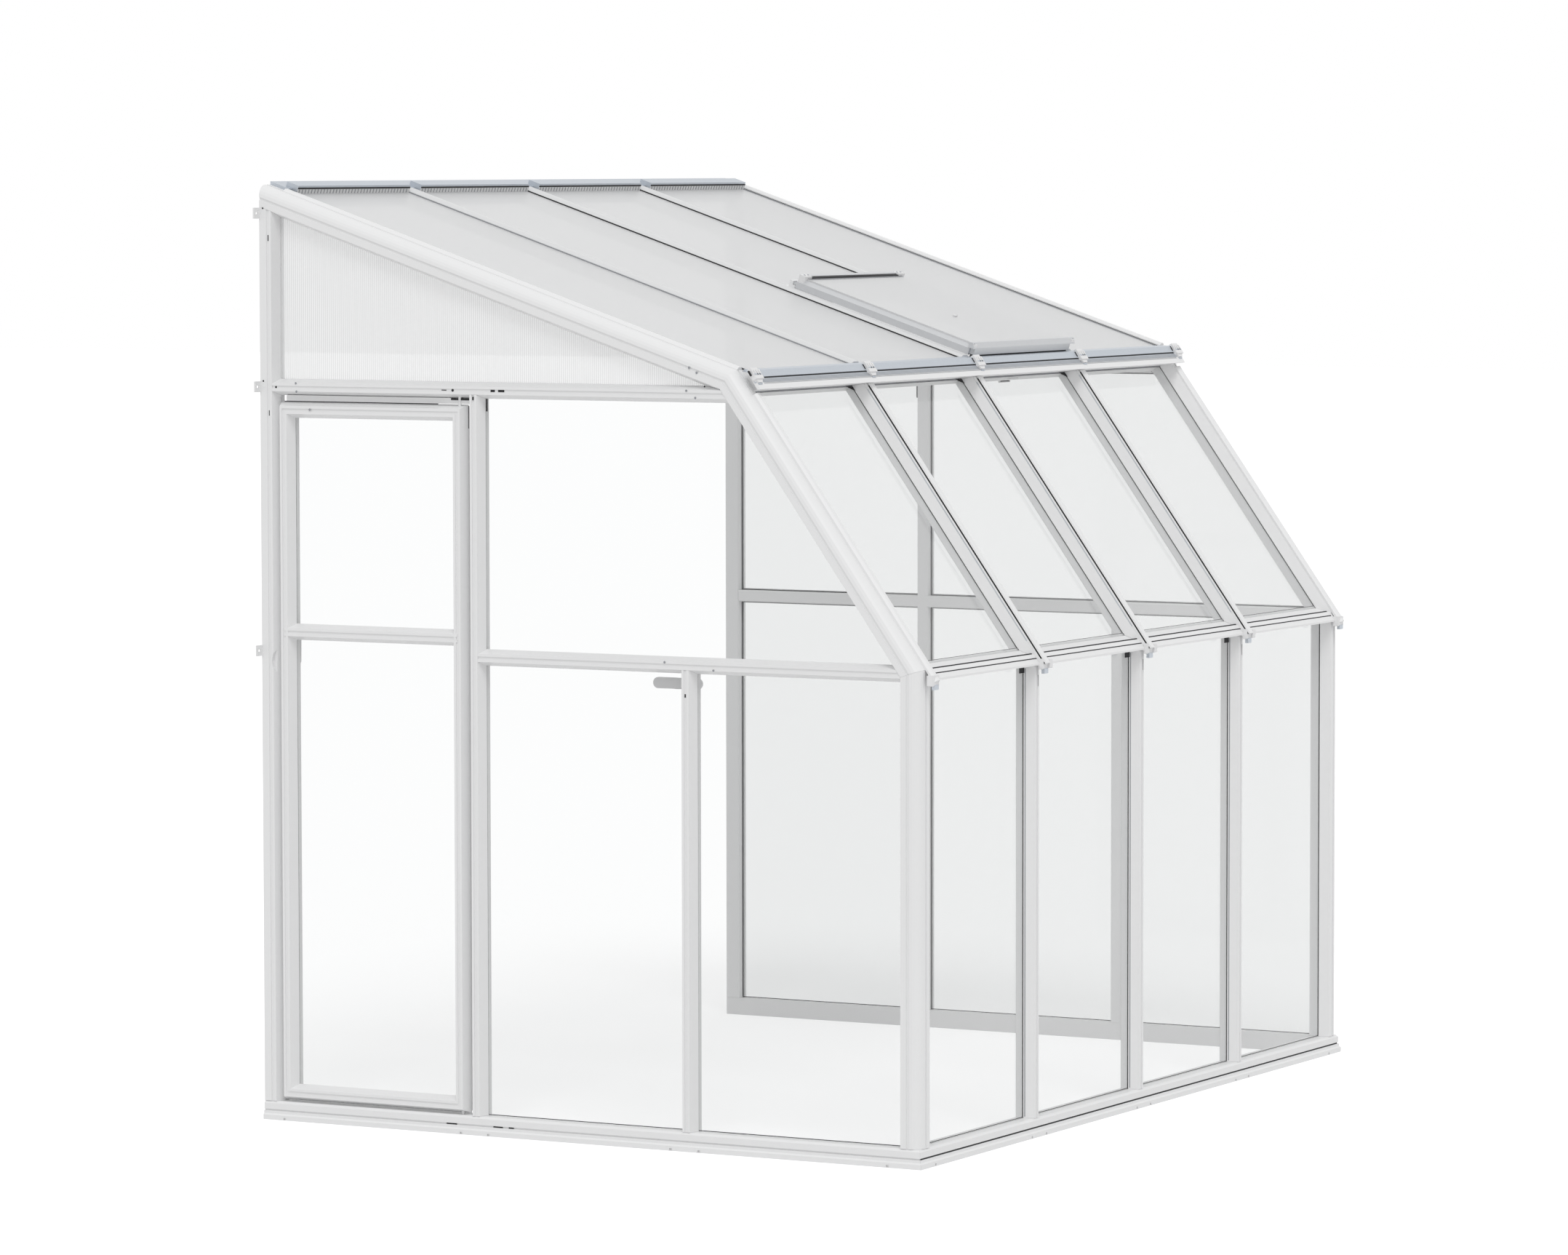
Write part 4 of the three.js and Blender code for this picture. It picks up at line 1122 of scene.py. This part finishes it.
@dataclass
class RoofTrim:
    """Seams beside the roof's rafters and edges, and the slots with teeth under the ridge's cap strips."""

    palette: Palette
    side: float = 23.2
    seam_wide: float = 5.0
    seam_up: Point = (-0.9, 1.6)
    ends: Point = (0.0, 1447.0)
    vent_end: float = 612.0
    edge_rubber: Point = (2.5, 5.0)
    edge_seam: Point = (10.0, 2.0)
    edge_start: float = 2.0
    cap_low: float = 1435.6
    cap_inset: float = 6.0
    skirt: Point = (-0.8, 11.8)
    skirt_up: Point = (0.0, 0.8)
    slot: Point = (11.8, 15.8)
    slot_up: Point = (0.0, 1.2)
    tooth: Triple = (3.4, 1.6, 11.0)
    pitch: float = 15.5

    def build(self) -> None:
        """Adds the seams, slots and teeth."""
        face = SIZES.roof.face()
        rubber = Piece("roof_rubber", self.palette.rubber, slot=Slot.PLASTIC)
        grey = Piece("roof_seams", self.palette.seam)
        skirt = Piece("ridge_cap_skirts", self.palette.roof_bar)
        cap = Face(face.at(0.0, self.cap_low), face.u, face.out, -face.v)
        for line in range(1, SIZES.bays):
            for turn in (-1, 1):
                beside_vent = (line, turn) in ((VENT_BAY, 1), (VENT_BAY + 1, -1))
                start = self.vent_end if beside_vent else self.ends[0]
                u = SIZES.line_x(line) + turn * (self.side + self.seam_wide / 2)
                piece = grey if (line, turn) == (1, -1) else rubber
                piece.stripe(face, (u, start), (u, self.ends[1]), self.seam_wide, self.seam_up)
        for turn in (-1, 1):
            for (away, wide), piece in ((self.edge_rubber, rubber), (self.edge_seam, grey)):
                u = turn * (SIZES.half - SIZES.edge_reach - away)
                piece.stripe(face, (u, self.edge_start), (u, self.ends[1]), wide, self.seam_up)
        points = []
        for bay in range(SIZES.bays):
            ends = SIZES.bay_ends(bay, self.side + self.cap_inset, SIZES.edge_reach + self.cap_inset)
            rubber.block(cap, ends, self.slot, self.slot_up)
            skirt.block(cap, ends, self.skirt, self.skirt_up)
            points += [cap.at(u, sum(self.skirt) / 2, self.skirt_up[1]) for u in middles(*ends, self.pitch)]
        for piece in (rubber, grey, skirt):
            piece.build()
        teeth_row("ridge_teeth", points, face, self.tooth, self.palette.seam, Body.FRAME)


@dataclass
class VentTrim:
    """The vent's dark slot with its teeth, corner plates, end caps and knob, and, on its trimmer, a black strip that
    is painted shade in the gap under the vent's bottom bar.
    """

    palette: Palette
    screws: ScrewHeads
    side_in: float = 18.0
    slot_in: Point = (16.0, 2.0)
    slot: Point = (541.0, 549.0)
    slot_up: Point = (40.8, 44.0)
    tooth: Triple = (3.2, 9.0, 1.2)
    tooth_up: float = 41.1
    pitch: float = 11.0
    plate: Spans = ((3.0, 42.0), (541.0, 562.0), (24.6, 48.1))
    plate_screws: tuple[Point, ...] = ((14.0, 552.0), (34.0, 552.0))
    end_cap: Spans = ((-11.0, 9.0), (-20.0, -1.0), (31.0, 42.0))
    cap_screws: tuple[Point, ...] = ((-4.0, -14.0), (-4.0, -7.0))
    knob_x: float = 309.0
    knob: Spans = ((-9.0, 9.0), (202.0, 210.0), (40.9, 44.1))
    plate_ease: float = 1.2
    # Painted shade: a black strip under the vent's bottom bar, standing for the deep shadow in the gap there.
    gap_shadow_in: float = 8.0
    gap_shadow: tuple[Point, Point] = ((-11.0, -6.0), (0.5, 9.5))

    def build(self) -> None:
        """Adds all of it."""
        face = SIZES.roof.face()
        left, right = SIZES.line_x(VENT_BAY) + self.side_in, SIZES.line_x(VENT_BAY + 1) - self.side_in
        rubber = Piece("vent_rubber", self.palette.rubber, Body.VENT, Slot.PLASTIC)
        inset = sum(self.slot_in)
        rubber.block(face, (left + inset, right - inset), self.slot, self.slot_up)
        rubber.build()
        place = (self.slot[0] - self.tooth[1] / 2, self.tooth_up)
        along = middles(left + self.slot_in[0], right - self.slot_in[0], self.pitch)
        points = [face.at(u, *place) for u in along]
        teeth_row("vent_teeth", points, face, self.tooth, self.palette.seam, Body.VENT)
        plates = Piece("vent_corners", self.palette.plastic, Body.VENT, Slot.PLASTIC)
        for x, turn in ((left, 1), (right, -1)):
            for spans, heads in ((self.plate, self.plate_screws), (self.end_cap, self.cap_screws)):
                plates.boxes(face, x, spans, turn=turn)
                for u, v in heads:
                    self.screws.add(Body.VENT, face, (x + turn * u, v), spans[2][1])
        plates.boxes(face, self.knob_x, self.knob)
        plates.build(self.plate_ease)
        # Painted shade: the black strip in the gap under the vent's bottom bar.
        gap_shadow = Piece("vent_gap_shadow", self.palette.rubber, slot=Slot.PLASTIC)
        gap_shadow.block(face, (left + self.gap_shadow_in, right - self.gap_shadow_in), *self.gap_shadow)
        gap_shadow.build()


@dataclass(frozen=True)
class Mark:
    """A dark spot on a gable, or a slot where it has an end; its points are distance behind the front and height."""

    start: Point
    wide: float
    end: Point | None = None
    deep: float = 0.0
    body: Body = Body.FRAME


@dataclass
class GableTrim:
    """Slots, seams, spots and screws of the gables' frames and of the door, and the stop strip over the door with
    painted shade in its gap.
    """

    palette: Palette
    screws: ScrewHeads
    marks: tuple[Mark, ...] = (
        Mark((1930.6, 1963.3), 6.0, deep=2.5),
        Mark((1381.0, 1962.8), 7.6, deep=2.5),
        Mark((1415.0, 1963.0), 2.4, (1400.0, 1963.0), 2.5),
        Mark((1265.0, 1963.0), 6.0, (1252.0, 1963.0), 2.5),
        Mark((1242.0, 1963.0), 6.0, (1223.0, 1963.0), 2.5),
        Mark((1317.5, 1947.0), 4.0, (1317.5, 1938.0)),
        Mark((1292.5, 1941.0), 4.5, (1292.5, 1908.0), 28.8),
        Mark((1349.0, 1921.0), 5.0, (1349.0, 1862.0), 28.0),
        Mark((1950.5, 2351.0), 7.0, (1950.5, 2367.0), 2.5),
        Mark((1950.5, 1887.0), 6.0, (1950.5, 1901.0), 2.5),
        Mark((1967.7, 2438.0), 5.0),
        Mark((1968.9, 1979.0), 5.0),
        Mark((1902.4, 1926.4), 2.5, (1424.0, 1926.4), -0.1, Body.DOOR),
        Mark((1408.0, 26.0), 3.6, (1377.0, 26.0), -1.0),
        Mark((1264.0, 26.0), 3.6, (1236.0, 26.0), -1.0),
        Mark((1217.0, 26.0), 3.6, (1202.0, 26.0), -1.0),
        Mark((679.7, 1254.6), 4.0, deep=2.5),
        Mark((683.0, 1189.0), 4.0, (683.0, 1180.0), 2.5),
        Mark((622.3, 1984.0), 5.0),
        Mark((559.5, 1963.0), 7.0, (556.5, 1963.0), 2.5),
    )
    heads: tuple[Point, ...] = (
        (1866.4, 1974.5), (1864.7, 1952.0), (676.1, 1972.5), (649.7, 1954.0), (667.7, 2032.0), (645.6, 2019.0),
        (742.7, 1270.0), (598.0, 1253.0),
    )
    door_head: Point = (1823.4, 1905.0)
    half_thick: float = 0.4
    stop: Spans = ((1341.0, 1909.0), (1926.5, 1942.0), (-28.0, -20.0))
    # Painted shade: a black strip on the stop strip over the door, standing for the shadow in the gap at the door's
    # head.
    stop_gap_shade: Spans = ((1341.0, 1396.0), (1936.5, 1942.0), (-20.0, -18.5))

    def build(self) -> None:
        """Adds all of it."""
        pieces = {
            Body.FRAME: Piece("gable_marks", self.palette.rubber, Body.FRAME, Slot.PLASTIC),
            Body.DOOR: Piece("door_marks", self.palette.rubber, Body.DOOR, Slot.PLASTIC),
        }
        for side in (-1.0, 1.0):
            face = SIZES.gable(side)
            for mark in self.marks:
                if side > 0 and mark.body is Body.DOOR:
                    continue
                up = (-mark.deep - self.half_thick, self.half_thick - mark.deep)
                if mark.end:
                    pieces[mark.body].stripe(face, mark.start, mark.end, mark.wide, up)
                else:
                    pieces[mark.body].dot(face, mark.start, mark.wide / 2, up)
            for head in self.heads:
                self.screws.add(Body.FRAME, face, head)
        near = SIZES.gable(-1.0)
        self.screws.add(Body.DOOR, near, self.door_head)
        strip = Piece("door_stop_strip", self.palette.white)
        strip.boxes(near, 0.0, self.stop)
        strip.build()
        # Painted shade: the black strip in the gap at the door's head.
        pieces[Body.FRAME].boxes(near, 0.0, self.stop_gap_shade)
        for piece in pieces.values():
            piece.build()


# --- studio ---


@dataclass(frozen=True)
class PhotoCamera:
    """The camera that took the picture, fitted to the straight lines in it."""

    place: Triple = (-16.623, -8.930324, 2.5701)
    yaw: float = 28.589
    pitch: float = -3.932
    roll: float = -0.084
    focal: float = 9395.8
    width: float = 2156.0
    sensor: float = 36.0
    sees: float = 200.0

    def build(self) -> None:
        """Makes the camera and sets it as the scene's."""
        data = bpy.data.cameras.new("camera")
        data.sensor_width = self.sensor
        data.lens = self.focal / self.width * self.sensor
        data.clip_end = self.sees
        camera = placed("camera", data)
        yaw, pitch, roll = (math.radians(v) for v in (self.yaw, self.pitch, self.roll))
        ahead = Vector((math.cos(yaw) * math.cos(pitch), math.sin(yaw) * math.cos(pitch), math.sin(pitch)))
        right = ahead.cross(UP).normalized()
        up = right.cross(ahead)
        turned = right * math.cos(roll) + up * math.sin(roll)
        upper = up * math.cos(roll) - right * math.sin(roll)
        basis = Matrix((turned, upper, -ahead)).transposed()
        camera.matrix_world = Matrix.Translation(self.place) @ basis.to_4x4()
        bpy.context.scene.camera = camera


@dataclass(frozen=True)
class Studio:
    """Pale floor, white surroundings and soft lamps."""

    ambient: float = 0.72
    floor_glow: float = 0.4
    floor_colour: float = 0.8
    floor_roughness: float = 0.9
    floor_reach: float = 60.0
    sun: float = 0.9
    sun_angle: float = 25.0
    sun_way: Triple = (0.6, 0.4, -1.0)

    def surroundings(self) -> None:
        """Makes the world white to the camera and a soft lamp to everything else."""
        world = bpy.data.worlds.new("white_studio")
        bpy.context.scene.world = world
        world.use_nodes = True
        graph, nodes = Graph(world.node_tree), world.node_tree.nodes
        white = (1.0, 1.0, 1.0, 1.0)
        graph.feed(nodes["Background"], {"Color": white, "Strength": self.ambient})
        seen = graph.add("ShaderNodeBackground", {"Color": white, "Strength": 1.0}).outputs[0]
        both = graph.mix(graph.rays(*SEEN_RAYS), nodes["Background"].outputs[0], seen)
        graph.feed(nodes["World Output"], {"Surface": both})

    def floor(self) -> None:
        """Makes the floor, white to the camera wherever no shadow falls."""
        reach = self.floor_reach
        square = [(-reach, -reach, 0), (reach, -reach, 0), (reach, reach, 0), (-reach, reach, 0)]
        floor = placed("floor", mesh_of("floor", square, faces=[range(4)]))
        mat, graph, shader = new_material("pale_floor")
        graph.feed(shader, {"Base Color": (*(self.floor_colour,) * 3, 1.0), "Roughness": self.floor_roughness})
        graph.feed(shader, {"Specular IOR Level": 0.0})
        dark = graph.add("ShaderNodeEmission", {"Strength": 0.0}).outputs[0]
        glow = graph.add("ShaderNodeEmission", {"Strength": self.floor_glow}).outputs[0]
        chosen = graph.mix(graph.rays(*SEEN_RAYS), dark, glow)
        both = graph.add("ShaderNodeAddShader", {0: shader.outputs[0], 1: chosen}).outputs[0]
        graph.feed(mat.node_tree.nodes["Material Output"], {"Surface": both})
        floor.data.materials.append(mat)

    def lamp(self) -> None:
        """Makes the soft lamp above the front."""
        data = bpy.data.lights.new("soft_sun", "SUN")
        data.energy = self.sun
        data.angle = math.radians(self.sun_angle)
        lamp = placed("soft_sun", data)
        lamp.rotation_mode = "QUATERNION"
        lamp.rotation_quaternion = Vector(self.sun_way).to_track_quat("-Z", "Y")

    def build(self) -> None:
        """Makes the whole studio."""
        self.surroundings()
        self.floor()
        self.lamp()
        bpy.context.scene.view_settings.view_transform = "Standard"


def corners(box: Iterable[Vector]) -> list[list[float]]:
    """Returns a box's corners as plain lists."""
    return [list(corner) for corner in box]


def main() -> None:
    """Builds the dressed greenhouse and its studio."""
    logging.basicConfig(level=logging.INFO, format="%(name)s: %(message)s")
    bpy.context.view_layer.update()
    PhotoCamera().build()
    Studio().build()
    palette = Palette.build()
    screws = ScrewHeads(palette)
    SolidsDress(palette).dress()
    trims = (Gaskets(palette), SlopeBars(palette), FrontTrim(palette), PurlinTrim(palette), RoofTrim(palette))
    for trim in (*trims, VentTrim(palette, screws), GableTrim(palette, screws), screws):
        trim.build()
        log.info("%s finished", type(trim).__name__)


if __name__ == "__main__":
    main()
